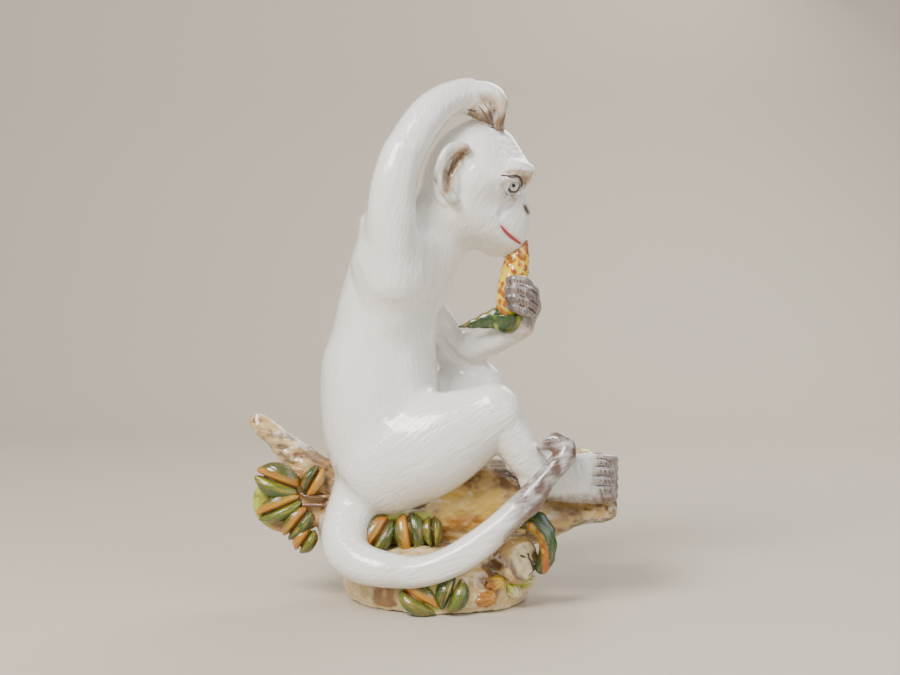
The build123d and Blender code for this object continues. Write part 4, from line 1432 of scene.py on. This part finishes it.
@dataclass
class BarkSkin:
    """The log, its knot, stub and twig, and the rock under them, with their rough modelled relief."""

    camera: Camera
    voxel: float = 0.9
    low: Point = (-130, -66, -2)
    high: Point = (122, 66, 126)
    nodes: tuple[tuple[str, float, Slot], ...] = (
        ("main_log", 0, Slot.BARK),
        ("log_knot", 3, Slot.BARK),
        ("stub_branch", 2.5, Slot.BARK),
        ("back_twig", 3, Slot.BARK),
        ("leaf_frond", 1.0, Slot.BARK),
        ("leaf_stems", 0.8, Slot.BARK),
        ("base_mound", 2.5, Slot.ROCK),
    )
    ridge_height: float = 0.9
    ridge_width: float = 5.5
    ridge_stretch: Point = (0.45, 1, 1)
    grain_stretch: Point = (0.5, 1, 1)
    stub_facing: Point = (0.68, -0.73, 0)
    owner: np.ndarray = field(default=None, repr=False)

    def on(self, labels: np.ndarray, *names: str) -> np.ndarray:
        """Whether each point is on one of the named nodes."""
        return on_nodes(labels, [node for node, _, _ in self.nodes], *names)

    def ridges(self, points: np.ndarray, wide: float, narrow: float) -> np.ndarray:
        """The bark's ridges along the log.

        Args:
            points: Places in mm, one a row.
            wide: Strength of the wide ridges.
            narrow: Strength of the narrow ones.

        Returns:
            The height at each place.
        """
        stretched = points * np.array(self.ridge_stretch)
        broad = np.abs(lattice_noise(stretched, self.ridge_width, 11))
        return broad * wide + narrow * lattice_noise(stretched, 2.6, 12)

    def model(self) -> Clay:
        """Join the nodes and roughen them.

        Returns:
            The finished clay.
        """
        voxel = quick_voxel(self.voxel)
        clay = Clay(self.low, self.high, voxel, band=max(5, int(6 / voxel)))
        self.owner = clay.join([(node, soft) for node, soft, _ in self.nodes])
        clay.smooth(1)
        shell = np.argwhere(np.abs(clay.values) < 4 * voxel)
        places = (shell + clay.start) * voxel
        at = tuple(shell.T)
        rock = self.on(self.owner[at], "base_mound")
        leafy = self.on(self.owner[at], "leaf_frond", "leaf_stems")
        stone = lattice_noise(places, 8, 13) * 1.2 + 0.5 * lattice_noise(places, 3.2, 14)
        relief = np.where(rock, stone, self.ridges(places, 1.6, 0.5) - 0.6)
        relief *= self.ridge_height * np.where(leafy, 0.3, 1)
        clay.values[at] += relief.astype(np.float32)
        rise = (np.arange(clay.shape[2]) + clay.start[2]).astype(np.float32) * voxel
        clay.values = np.maximum(clay.values, -rise[None, None, :] + 0.02)
        return clay

    def build(self, clay: Clay, finish: dict[Enum, bpy.types.Material]) -> None:
        """Cut the skin into its pieces and paint them.

        Args:
            clay: The modelled clay.
            finish: Materials by slot.
        """
        points, quads = clay.surface()
        normals = point_normals(points, quads)
        labels = clay.owner_at(self.owner, points)
        pieces = [(node, slot, finish[slot]) for node, _, slot in self.nodes]
        grain = points * np.array(self.grain_stretch)
        paint = self.paint(points, normals, labels)
        cut_pieces((points, quads, normals), labels, pieces, paint, grain, np.ones(len(points)))

    def paint(self, points: np.ndarray, normals: np.ndarray, labels: np.ndarray) -> Paint:
        """Lay the washes of brown, ochre and green over the cream, with a painted shadow along the top of the
        log.

        Args:
            points: The skin's points in mm.
            normals: Its normals.
            labels: Index of the node that owns each point.

        Returns:
            The paint.
        """
        p = Paint(len(points))
        seen = self.camera.picture(points)
        coarse = lattice_noise(points, 16, 21)
        fine = lattice_noise(points * np.array(self.grain_stretch), 5, 22)
        grit = lattice_noise(points, 2.2, 23)
        groove = self.ridges(points, 1, 0.3)
        side = ease(-normals[:, 1], -0.2, 0.5)
        log_part = self.on(labels, "main_log", "log_knot", "stub_branch")
        knot, twig = self.on(labels, "log_knot"), self.on(labels, "back_twig")
        frond, rock = self.on(labels, "leaf_frond"), self.on(labels, "base_mound")
        bark = log_part | twig
        p.wash(CREAM, 0.2 + 0.3 * coarse)
        p.wash(BROWN, log_part * ease(0.7 * fine + 1.1 * coarse + 0.3 * grit, 0.1, 0.6) * 0.85)
        p.wash(BROWN, bark * ease(groove, 0.42, 0.8) * (0.55 + 0.4 * coarse))
        p.wash(IVORY, bark * (1 - ease(groove, 0.02, 0.2)) * ease(coarse, -0.2, 0.5) * 0.5)
        # Painted shadow: a brown band on the log just under its top edge, below the seated monkey.
        band = seen.inside([(462, 468), (500, 463), (534, 470), (530, 488), (500, 486), (470, 492)], 7)
        p.wash(BROWN, log_part * band * ease(fine + 0.5 * grit + 0.3, -0.2, 0.6) * 0.8)
        pale = seen.inside([(446, 496), (498, 492), (500, 516), (470, 526), (446, 520)], 8)
        p.wash(YELLOW, log_part * side * pale * 0.5)
        rust = seen.inside([(434, 524), (478, 518), (482, 552), (434, 552)], 8)
        p.wash(OCHRE, log_part * rust * ease(fine + 0.6 * grit, -0.5, 0.4) * 0.9)
        p.wash(OCHRE, knot * (0.7 + 0.3 * fine) * ease(-normals[:, 2], -0.9, 0.6))
        p.wash(BROWN, knot * ease(grit + fine, 0.0, 0.8) * 0.6)
        p.wash(OLIVE, log_part * ease(seen.u, 560, 580) * ease(grit + 0.5 * fine, 0.0, 0.7) * 0.55)
        p.wash(BROWN, log_part * ease(seen.u, 540, 600) * ease(grit - fine, 0.1, 0.8) * 0.75)
        hip = [(358, 528), (372, 515), (396, 513), (430, 515), (440, 530), (436, 546), (400, 552), (366, 549)]
        p.wash(LIME, log_part * side * seen.inside(hip, 5) * (0.75 + 0.3 * fine))
        p.wash(BROWN, twig * ease(grit + fine + 0.5 * coarse, 0.2, 1.0) * 0.7)
        p.wash(BROWN, twig * ease(seen.u + 6 * fine, 296, 322) * 0.65)
        p.wash(OCHRE, frond * (0.55 + 0.2 * fine))
        p.wash(LIME, frond * (1 - ease(seen.u + 5 * fine, 262, 278)) * 0.9)
        p.wash(BROWN, frond * ease(fine + grit, 0.2, 1.0) * 0.6)
        p.wash(BROWN, self.on(labels, "leaf_stems") * 0.9)
        facing = normals @ np.array(self.stub_facing)
        sawn = self.on(labels, "stub_branch") & (facing > 0.86) & (points[:, 1] < -40)
        p.wash((0.8, 0.68, 0.42), sawn * 0.85)
        p.wash(OCHRE, sawn * ease(fine + coarse, 0.1, 0.8) * 0.6)
        p.wash(BROWN, sawn * seen.beside([(508, 562), (514, 578), (528, 586), (542, 580)], 2, 8) * 0.9)
        p.wash(CREAM, rock * 0.45)
        p.wash(BROWN, rock * ease(0.6 * fine + 1.2 * coarse + 0.2 * grit, 0.15, 0.6) * 0.85)
        p.wash(OCHRE, rock * ease(coarse - fine, 0.0, 0.7) * 0.4)
        moss = seen.inside([(398, 584), (430, 578), (442, 600), (436, 616), (404, 612)], 5)
        p.wash(LIME, rock * side * moss * (0.7 + 0.3 * fine))
        p.wash(CREAM, rock * (1 - ease(points[:, 2], 1.6, 3.0)))
        return p


def small_clay(low: np.ndarray, high: np.ndarray) -> Clay:
    """Fine clay between two corners in mm."""
    return Clay(tuple(low), tuple(high), quick_voxel(SMALL_VOXEL), band=SMALL_BAND)


def node_clay(node: str, grow: float = 0.0, margin: float = 2) -> Clay:
    """A small CAD node as fine clay.

    Args:
        node: The node's name.
        grow: How far it is grown, in mm.
        margin: Room in mm that is left round it.

    Returns:
        The clay.
    """
    cad, _ = cad_mesh(node)
    clay = small_clay(cad.min(0) - margin, cad.max(0) + margin)
    clay.add_node(node, grow)
    clay.smooth(1)
    return clay


def small_piece(
    name: str,
    skin: tuple[np.ndarray, np.ndarray],
    finish: dict[Enum, bpy.types.Material],
    slot: Slot,
    node: str,
    paint: Paint,
) -> None:
    """Make the piece of one small node from its skin's points and quads."""
    make_mesh(name, *skin, finish[slot], slot, node, paint, point_normals(*skin))


@dataclass(frozen=True)
class Leaf:
    """One modelled leaf: where its rib runs, and the colours of its two halves."""

    node: str
    foot: Point
    tip: Point
    left: Colour
    right: Colour
    normal: Point = (0, -1, 0)
    grown: float = 0.4
    rib_depth: float = 1.5
    rib_width: float = 0.9
    lobe: float = 4.0
    puff: float = 0.8
    vein_depth: float = 0.09
    vein_pitch: float = 1.5

    def build(self, finish: dict[Enum, bpy.types.Material]) -> None:
        """Cut the rib and veins into the node and paint both halves.

        Args:
            finish: Materials by slot.
        """
        clay = node_clay(self.node, self.grown)
        clay.press(self.relief(*self.axes(clay.everywhere())))
        skin = clay.surface()
        paint = self.paint(skin[0], point_normals(*skin))
        small_piece(self.node + "_leaf", skin, finish, Slot.LEAF, self.node, paint)

    def axes(self, points: np.ndarray) -> tuple[np.ndarray, np.ndarray]:
        """Shares along the rib and mm across it.

        Args:
            points: Places in mm, one a row.

        Returns:
            The shares and the mm.
        """
        foot, tip = np.array(self.foot, float), np.array(self.tip, float)
        rib = tip - foot
        length = np.linalg.norm(rib)
        rib /= length
        side = unit(np.cross(np.array(self.normal, float), rib))
        return (points - foot) @ rib / length, (points - foot) @ side

    def relief(self, along: np.ndarray, across: np.ndarray) -> np.ndarray:
        """How far the rib and veins are pressed in.

        Args:
            along: Share along the rib.
            across: Mm across it.

        Returns:
            Depth in mm at each place.
        """
        side = np.abs(across)
        rib = self.rib_depth * np.exp(-((across / self.rib_width) ** 2)) * (0.8 + 0.5 * ease(along, 0.5, 1.0))
        puff = self.puff * np.exp(-(((side - self.lobe) / self.lobe) ** 2)) * ease(along, -0.1, 0.15)
        veins = self.vein_depth * np.cos(2 * math.pi * across / self.vein_pitch) * ease(side, 1.0, 2.0)
        return rib - puff + veins

    def paint(self, points: np.ndarray, normals: np.ndarray) -> Paint:
        """Colour each half, with a darker rib and rim and yellow streaks.

        Args:
            points: The leaf's points in mm.
            normals: Its normals.

        Returns:
            The paint.
        """
        p = Paint(len(points))
        along, across = self.axes(points)
        fine = lattice_noise(points, 3.5, 31)
        coarse = lattice_noise(points, 9, 32)
        streak = lattice_noise(np.stack([along * 6, across * 2.2, 0 * along], 1), 2.0, 33)
        side = np.abs(across)
        p.wash(self.left, np.ones(len(points)))
        p.wash(self.right, ease(across, -0.4, 0.4))
        p.wash(ORANGE, 0.3 * ease(streak - coarse, 0.0, 0.8))
        p.wash(GOLD, 0.55 * ease(streak + 0.6 * coarse, 0.2, 1.0) * ease(along, 0.1, 0.6))
        p.wash(OLIVE, 0.5 * ease(side + 2.0 * coarse, 3.0, 6.5))
        p.wash(GREEN, 0.75 * ease(side + 3.0 * coarse + 0.8 * streak, 4.6, 7.6))
        crest = np.exp(-(((side - 0.7 * self.lobe) / 1.8) ** 2))
        p.wash(YELLOW, 0.45 * crest * ease(0.5 * coarse + 0.3 * streak, -0.1, 0.5))
        p.wash(BROWN, 0.85 * (1 - ease(side, 0.2, 0.8)))
        p.wash(BROWN, 0.7 * (1 - ease(np.abs(normals @ np.array(self.normal, float)), 0.1, 0.5)))
        return p


@dataclass(frozen=True)
class Bud:
    """A fluted bud on the base."""

    node: str
    heading: Point
    low_colour: Colour
    high_colour: Colour
    flutes: int = 7
    flute_depth: float = 0.22
    twist: float = 1.5

    def build(self, finish: dict[Enum, bpy.types.Material]) -> None:
        """Flute the node and paint it.

        Args:
            finish: Materials by slot.
        """
        cad, _ = cad_mesh(self.node)
        clay = node_clay(self.node)
        clay.press(self.flute_depth * self.ridge(*self.polar(clay.everywhere(), cad)))
        skin = clay.surface()
        turn, rise = self.polar(skin[0], cad)
        p = Paint(len(skin[0]))
        p.wash(self.low_colour, np.ones(len(skin[0])))
        p.wash(self.high_colour, ease(rise + 0.4 * lattice_noise(skin[0], 3, 41), -0.3, 0.9))
        p.wash(BROWN, 0.45 * ease(self.ridge(turn, rise), 0.3, 1.0))
        small_piece(self.node + "_bud", skin, finish, Slot.LEAF, self.node, p)

    def ridge(self, turn: np.ndarray, rise: np.ndarray) -> np.ndarray:
        """Waves round the bud that twist a little along it."""
        return np.cos(self.flutes * turn + self.twist * rise)

    def polar(self, points: np.ndarray, cad: np.ndarray) -> tuple[np.ndarray, np.ndarray]:
        """Angle about the bud's axis, and share along it from -1 to 1.

        Args:
            points: Places in mm, one a row.
            cad: The CAD node's points in mm.

        Returns:
            The angles and the shares.
        """
        middle = (cad.min(0) + cad.max(0)) / 2
        axis = unit(np.array(self.heading, float))
        side = unit(np.cross(axis, (0.3, 1, 0.2)))
        other = np.cross(axis, side)
        d = points - middle
        half = np.abs((cad - middle) @ axis).max()
        return np.arctan2(d @ other, d @ side), d @ axis / half


@dataclass(frozen=True)
class Fruit:
    """The spotted fruit at the monkey's mouth, its calyx and leaf, and the curled leaf on the stub."""

    camera: Camera
    finish: dict[Enum, bpy.types.Material]
    spots: int = 110
    spot_radius: float = 1.7
    spot_height: float = 0.5
    ring: float = 1.5
    leaf_low: Point = (2, -14, 158)
    leaf_high: Point = (52, 12, 186)
    leaf_route: tuple[Point, ...] = (
        (13, 1, 167.5), (22, 0, 169.5), (30, -1, 171.5), (37, -2, 173), (42, -2, 173.5),
    )
    leaf_radii: tuple[float, ...] = (0.7, 2.6, 4.6, 6.4, 6.8)
    curl_low: Point = (42, -62, 14)
    curl_high: Point = (82, -20, 66)
    curl_route: tuple[Point, ...] = (
        (55, -41, 57), (61, -41.5, 54), (65.5, -42, 47), (67, -42, 39), (66.5, -42, 31), (64.5, -42, 25),
    )
    curl_radii: tuple[float, ...] = (3.2, 4.2, 4.6, 4.2, 3.2, 1.6)

    def build(self) -> None:
        """Make the four pieces."""
        self.fruit()
        self.calyx()
        self.fruit_leaf()
        self.curled_leaf()

    def spot_gap(self, points: np.ndarray) -> np.ndarray:
        """Distance from each point of the fruit to the nearest spot's centre.

        Args:
            points: The fruit's points in mm.

        Returns:
            The distances in mm.
        """
        low, high = points.min(0), points.max(0)
        gap = np.full(len(points), UNREACHED)
        for i in range(self.spots):
            z = low[2] + (high[2] - low[2]) * ((i + 0.5) / self.spots)
            ring = points[np.abs(points[:, 2] - z) < self.ring]
            if len(ring):
                turn = i * GOLDEN_TURN
                away = unit(ring - ring.mean(0)) @ np.array((math.cos(turn), math.sin(turn), 0))
                gap = np.minimum(gap, np.linalg.norm(points - ring[np.argmax(away)], axis=1))
        return gap

    def fruit(self) -> None:
        """The fruit with its raised spots."""
        points, quads = node_clay("fruit").surface()
        gap = self.spot_gap(points)
        raised = self.spot_height * np.exp(-((gap / self.spot_radius) ** 2))
        points = points + point_normals(points, quads) * raised[:, None]
        uneven = 1.5 * lattice_noise(points, 3, 51) + 1.1 * lattice_noise(points, 7, 53)
        r = self.spot_radius
        p = Paint(len(points))
        p.wash(LIME, ease(self.camera.picture(points).v, 290, 316) * 0.8)
        p.wash((0.46, 0.1, 0.004), 0.95 * (1 - ease(gap + uneven, r * 0.75, r * 1.15)))
        p.wash(BROWN, 0.4 * (1 - ease(gap + uneven, 0.1, r * 0.8)))
        small_piece("fruit_body", (points, quads), self.finish, Slot.FRUIT, "fruit", p)

    def calyx(self) -> None:
        """The green cup at the fruit's foot."""
        skin = node_clay("fruit_calyx").surface()
        d = skin[0] - (skin[0].min(0) + skin[0].max(0)) / 2
        lobes = 0.3 * np.cos(5 * np.arctan2(d[:, 1], d[:, 0]))
        p = self.green(skin[0])
        p.wash(OLIVE, 0.9 * ease(lattice_noise(skin[0], 5, 61) + lobes, -0.1, 0.5))
        p.wash(LIME, 0.7 * ease(lattice_noise(skin[0], 6, 64), 0.1, 0.6))
        small_piece("fruit_calyx_cup", skin, self.finish, Slot.LEAF, "fruit_calyx", p)

    def green(self, points: np.ndarray) -> Paint:
        """Dark green paint all over.

        Args:
            points: Places in mm, one a row.

        Returns:
            The paint.
        """
        p = Paint(len(points))
        p.wash(GREEN, np.ones(len(points)))
        return p

    def fruit_leaf(self) -> None:
        """The long dark leaf under the hand."""
        clay = small_clay(self.leaf_low, self.leaf_high)
        clay.stroke(self.leaf_route, self.leaf_radii, 1.0, flat=0.5)
        clay.smooth(1)
        skin = clay.surface()
        fine = lattice_noise(skin[0], 3, 62)
        edge = self.camera.picture(skin[0]).distance([(462, 326), (478, 318), (498, 307)])
        p = self.green(skin[0])
        p.wash(YELLOW, 0.25 * (1 - ease(edge + 1.5 * fine, 0.3, 1.6)))
        p.wash(LIME, 0.2 * ease(fine, 0.3, 0.9))
        small_piece("fruit_leaf_blade", skin, self.finish, Slot.LEAF, "fruit_leaf", p)

    def curled_leaf(self) -> None:
        """The dark leaf that curls over the sawn stub."""
        clay = small_clay(self.curl_low, self.curl_high)
        clay.add_node("curled_leaf")
        clay.stroke(self.curl_route, self.curl_radii, 2.0, flat=0.6)
        clay.smooth(1)
        skin = clay.surface()
        seen = self.camera.picture(skin[0])
        outer = seen.distance([(532, 512), (549, 520), (558, 540), (558, 560), (549, 574)])
        inner = seen.beside([(530, 526), (540, 538), (545, 552), (546, 572)], 2.0, 5)
        p = self.green(skin[0])
        p.wash(OLIVE, 0.8 * ease(np.cos(outer * 1.1), 0.1, 0.9) * ease(outer, 2, 4))
        p.wash(ORANGE, inner * 0.85)
        p.wash(YELLOW, inner * ease(lattice_noise(skin[0], 3, 63), -0.2, 0.4) * 0.8)
        small_piece("curled_leaf_blade", skin, self.finish, Slot.LEAF, "curled_leaf", p)


@dataclass(frozen=True)
class Eye:
    """A glazed eyeball with a painted ring and pupil. Its rings are degrees from the gaze."""

    node: str
    centre: Point
    gaze: Point
    radius: float = 6.2
    swell: float = 0.25
    swell_reach: float = 0.55
    rings: int = 96
    pupil: tuple[float, float] = (10, 14)
    inner_ring: tuple[float, ...] = (17, 19, 21, 24)
    outer_ring: tuple[float, ...] = (27, 31, 43, 50)
    shade: tuple[float, ...] = (43, 50, 52, 62)
    oval: float = 0.25

    def build(self, finish: dict[Enum, bpy.types.Material]) -> None:
        """Make the ball, swelling a little at the iris, and paint it.

        Args:
            finish: Materials by slot.
        """
        gaze = unit(np.array(self.gaze, float))
        side = unit(np.cross(gaze, (0, 0, 1)))
        up = np.cross(side, gaze)
        centre = np.array(self.centre)
        points, faces = [], []
        for i in range(1, self.rings):
            polar = math.pi * i / self.rings
            reach = self.radius + self.swell * math.exp(-((polar / self.swell_reach) ** 2))
            for k in range(self.rings):
                turn = 2 * math.pi * k / self.rings
                d = gaze * math.cos(polar) + (side * math.cos(turn) + up * math.sin(turn)) * math.sin(polar)
                points.append(centre + reach * d)
        front, last = len(points), len(points) + 1
        points += [centre + (self.radius + self.swell) * gaze, centre - self.radius * gaze]
        base = (self.rings - 2) * self.rings
        for k in range(self.rings):
            after = (k + 1) % self.rings
            for row in range(0, base, self.rings):
                faces.append((row + k, row + after, row + after + self.rings, row + k + self.rings))
            faces += [(front, after, k), (last, base + k, base + after)]
        points = np.array(points)
        d = unit(points - centre)
        paint = self.paint(d, gaze, side, up)
        make_mesh(self.node + "_ball", points, faces, finish[Slot.EYE], Slot.EYE, self.node, paint, d)

    def paint(self, d: np.ndarray, gaze: np.ndarray, side: np.ndarray, up: np.ndarray) -> Paint:
        """Paint the rings and the pupil.

        Args:
            d: Direction of each point from the centre.
            gaze: Where the eye looks.
            side: Direction across its front.
            up: Direction up its front.

        Returns:
            The paint.
        """
        across, rise = d @ side, d @ up
        angle = np.degrees(np.arccos(np.clip(d @ gaze, -1, 1)))
        angle = angle * np.sqrt(1 + self.oval * (across / (np.hypot(across, rise) + TINY)) ** 2)
        p = Paint(len(d))
        for colour, strength, (a, b, c, e) in (
            (DARK, 0.97, self.outer_ring), (BROWN, 0.6, self.shade), (MAUVE, 0.7, self.inner_ring),
        ):
            p.wash(colour, strength * ease(angle, a, b) * (1 - ease(angle, c, e)))
        p.wash(DARK, 1 - ease(angle, *self.pupil))
        return p


@dataclass(frozen=True)
class Line:
    """A painted line laid over the glaze, given by pixels of the photograph."""

    name: str
    pixels: tuple[Pixel, ...]
    width: float
    brush: Brush = Brush.DARK
    both: bool = False


@dataclass
class PaintedLines:
    """Every painted line on the figurine."""

    camera: Camera
    finish: dict[Enum, bpy.types.Material]
    flat: float = 0.45
    lift: float = 0.02
    taper_start: float = 0.12
    taper_power: float = 0.6
    tick: tuple[Pixel, ...] = ((-0.4, -1.6), (0.2, 0), (0.4, 1.6))
    tick_width: float = 0.32
    lines: tuple[Line, ...] = (
        Line("upper_lid", ((500.5, 175), (505, 175.8), (511, 176.5), (517, 176), (521, 179), (523, 184)),
             0.95, both=True),
        Line("eye_corner", ((519, 178), (522, 183), (521, 188)), 0.7, both=True),
        Line("lower_lid", ((504, 190), (507, 194.5), (512, 196), (517, 194)), 0.45, both=True),
        Line("mouth", ((500.5, 225.5), (505, 231.5), (510, 236), (516, 240.5), (521, 244)),
             1.35, Brush.RED, True),
        Line("nostril_rim", ((524.5, 205), (526, 209), (528.5, 213.5)), 0.9, both=True),
        Line("finger_line_1", ((511, 285.5), (520, 285.5), (531, 289), (538, 295)), 0.5),
        Line("finger_line_2", ((510, 294.5), (520, 295.5), (531, 300), (539, 306)), 0.6),
        Line("finger_line_3", ((511, 303.5), (520, 305), (531, 310), (538, 315)), 1.0),
        Line("toe_line_1", ((594, 459), (604, 459), (611, 462)), 0.4),
        Line("toe_line_2", ((592, 467), (604, 466), (614, 468.5)), 0.6),
        Line("toe_line_3", ((592, 476), (604, 475.5), (615, 478)), 0.6),
        Line("toe_line_4", ((594, 486), (604, 485.5), (614, 487)), 0.6),
        Line("crown_contact_1", ((484, 121), (490, 124), (497, 127)), 0.6),
        Line("crown_contact_2", ((487, 125), (493, 128), (500, 131)), 0.5),
        Line("palm_stroke_1", ((484, 103), (489, 111), (493, 121)), 0.4),
        Line("palm_stroke_2", ((489, 101), (494, 110), (498, 121)), 0.4),
        Line("palm_stroke_3", ((478, 105), (484, 113), (488, 121)), 0.4),
        Line("thumb_line", ((467, 109), (474, 111), (480, 110)), 0.5),
        Line("stub_crack_1", ((515, 553), (522, 556), (530, 560), (538, 566)), 0.8),
        Line("stub_crack_2", ((524, 546), (528, 554), (530, 560)), 0.7),
        Line("stub_crack_3", ((530, 560), (533, 570), (528, 577)), 0.6),
    )
    tick_rows: tuple[tuple[Pixel, Pixel, int], ...] = (
        ((518, 289.5), (532, 296), 6),
        ((519, 308.5), (532, 314.5), 6),
        ((514, 280), (526, 283), 5),
        ((519, 299.5), (533, 305), 5),
        ((601, 462.5), (611, 464.5), 3),
        ((601, 471), (613, 473), 4),
        ((601, 480.5), (613, 482), 4),
        ((600, 490), (610, 491), 3),
    )

    def ticks(self) -> list[Line]:
        """Short strokes across the knuckles and toes.

        Returns:
            The strokes as lines.
        """
        made = []
        for row, (start, end, count) in enumerate(self.tick_rows):
            for k in range(count):
                share = k / (count - 1)
                u, v = start[0] + (end[0] - start[0]) * share, start[1] + (end[1] - start[1]) * share
                pixels = tuple((u + across, v + down) for across, down in self.tick)
                made.append(Line(f"tick_{row}_{k}", pixels, self.tick_width))
        return made

    def build(self, sight: Sight) -> None:
        """Lay each line on the clay where the photograph shows it.

        Args:
            sight: Finds places on the clay.
        """
        for line in (*self.lines, *self.ticks()):
            places = sight.strike(line.pixels)
            normals = sight.normals(places)
            route = resample(places + normals * self.lift, 5 * len(places))
            up = resample(normals, 5 * len(places)).mean(0)
            share = np.linspace(self.taper_start, math.pi - self.taper_start, len(route))
            radii = line.width * np.sin(share) ** self.taper_power
            for name, side in (("near", 1), ("far", -1)) if line.both else (("near", 1),):
                points, faces = tube(route * (1, side, 1), radii, self.flat, tuple(up * (1, side, 1)))
                make_mesh(f"{line.name}_{name}", points, faces, self.finish[line.brush], Slot.WHITE)


def build_finishes() -> dict[Enum, bpy.types.Material]:
    """Make every material once.

    Returns:
        Materials by slot, and the painted lines' by brush.
    """
    groups = {"wash": brush_wash_group(), "relief": relief_group()}
    glazes = {
        Slot.WHITE: WHITE,
        Slot.EYE: EYE,
        Slot.BARK: BARK,
        Slot.ROCK: ROCK,
        Slot.LEAF: LEAF,
        Slot.FRUIT: FRUIT,
        Brush.DARK: LINE,
        Brush.RED: LIP,
    }
    return {key: glaze.material(groups) for key, glaze in glazes.items()}


LEAVES = (
    Leaf("rump_leaf_1", (-85.9, -14.0, 68.9), (-109.9, -14.0, 77.9), OCHRE, OLIVE),
    Leaf("rump_leaf_2", (-84.7, -14.0, 62.3), (-109.3, -14.0, 51.8), GOLD, OLIVE),
    Leaf("rump_leaf_3", (-79.3, -14.0, 55.4), (-92.2, -14.0, 39.5), OCHRE, GREEN),
    Leaf("rump_leaf_4", (-76.9, -14.0, 43.4), (-85.3, -14.0, 30.8), GOLD, OLIVE),
    Leaf("rump_leaf_5", (-80.8, -14.0, 65.9), (-71.8, -14.0, 81.5), GOLD, GREEN),
    Leaf("hip_leaf_1", (-28.9, -25.5, 52.0), (-41.8, -31.0, 32.2), OCHRE, GREEN),
    Leaf("hip_leaf_2", (-17.9, -25.5, 54.6), (-14.2, -31.0, 33.2), GOLD, GREEN),
    Leaf("hip_leaf_3", (-3.2, -25.5, 53.0), (-2.2, -31.0, 37.4), OLIVE, GREEN),
    Leaf("base_leaf_1", (-19.9, -53.2, 15.1), (-1.1, -57.1, 4.3), OLIVE, GOLD),
    Leaf("base_leaf_2", (12.5, -52.6, 20.9), (5.7, -57.7, 4.3), GREEN, OLIVE),
)
BUDS = (
    Bud("base_bud_1", (1, -0.3, 0.05), OCHRE, GOLD),
    Bud("base_bud_2", (1, -0.3, 0.25), OCHRE, YELLOW),
    Bud("base_bud_3", (0.4, -0.3, -0.9), LIME, CREAM),
    Bud("base_bud_4", (1, -0.3, 0.1), LIME, CREAM),
)
EYES = (
    Eye("right_eye", (46.8, -14.1, 253.8), (-0.05, -1, 0.0)),
    Eye("left_eye", (46.8, 14.1, 253.8), (-0.05, 1, 0.0)),
)


def main() -> None:
    """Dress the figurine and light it."""
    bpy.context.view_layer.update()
    camera = Camera()
    camera.build()
    Studio().build()
    finish = build_finishes()
    skin, bark = MonkeySkin(camera), BarkSkin(camera)
    clays = [skin.model(), bark.model()]
    skin.build(clays[0], finish)
    bark.build(clays[1], finish)
    for small in (*LEAVES, *BUDS):
        small.build(finish)
    Fruit(camera, finish).build()
    for eye in EYES:
        eye.build(finish)
    PaintedLines(camera, finish).build(Sight(clays, camera))


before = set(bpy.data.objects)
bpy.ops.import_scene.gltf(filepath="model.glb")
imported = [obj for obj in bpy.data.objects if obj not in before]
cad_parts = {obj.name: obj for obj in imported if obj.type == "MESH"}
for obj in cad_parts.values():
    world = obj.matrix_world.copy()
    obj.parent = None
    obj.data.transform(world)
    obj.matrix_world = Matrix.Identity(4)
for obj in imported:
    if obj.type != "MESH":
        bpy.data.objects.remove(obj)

if __name__ == "__main__":
    main()
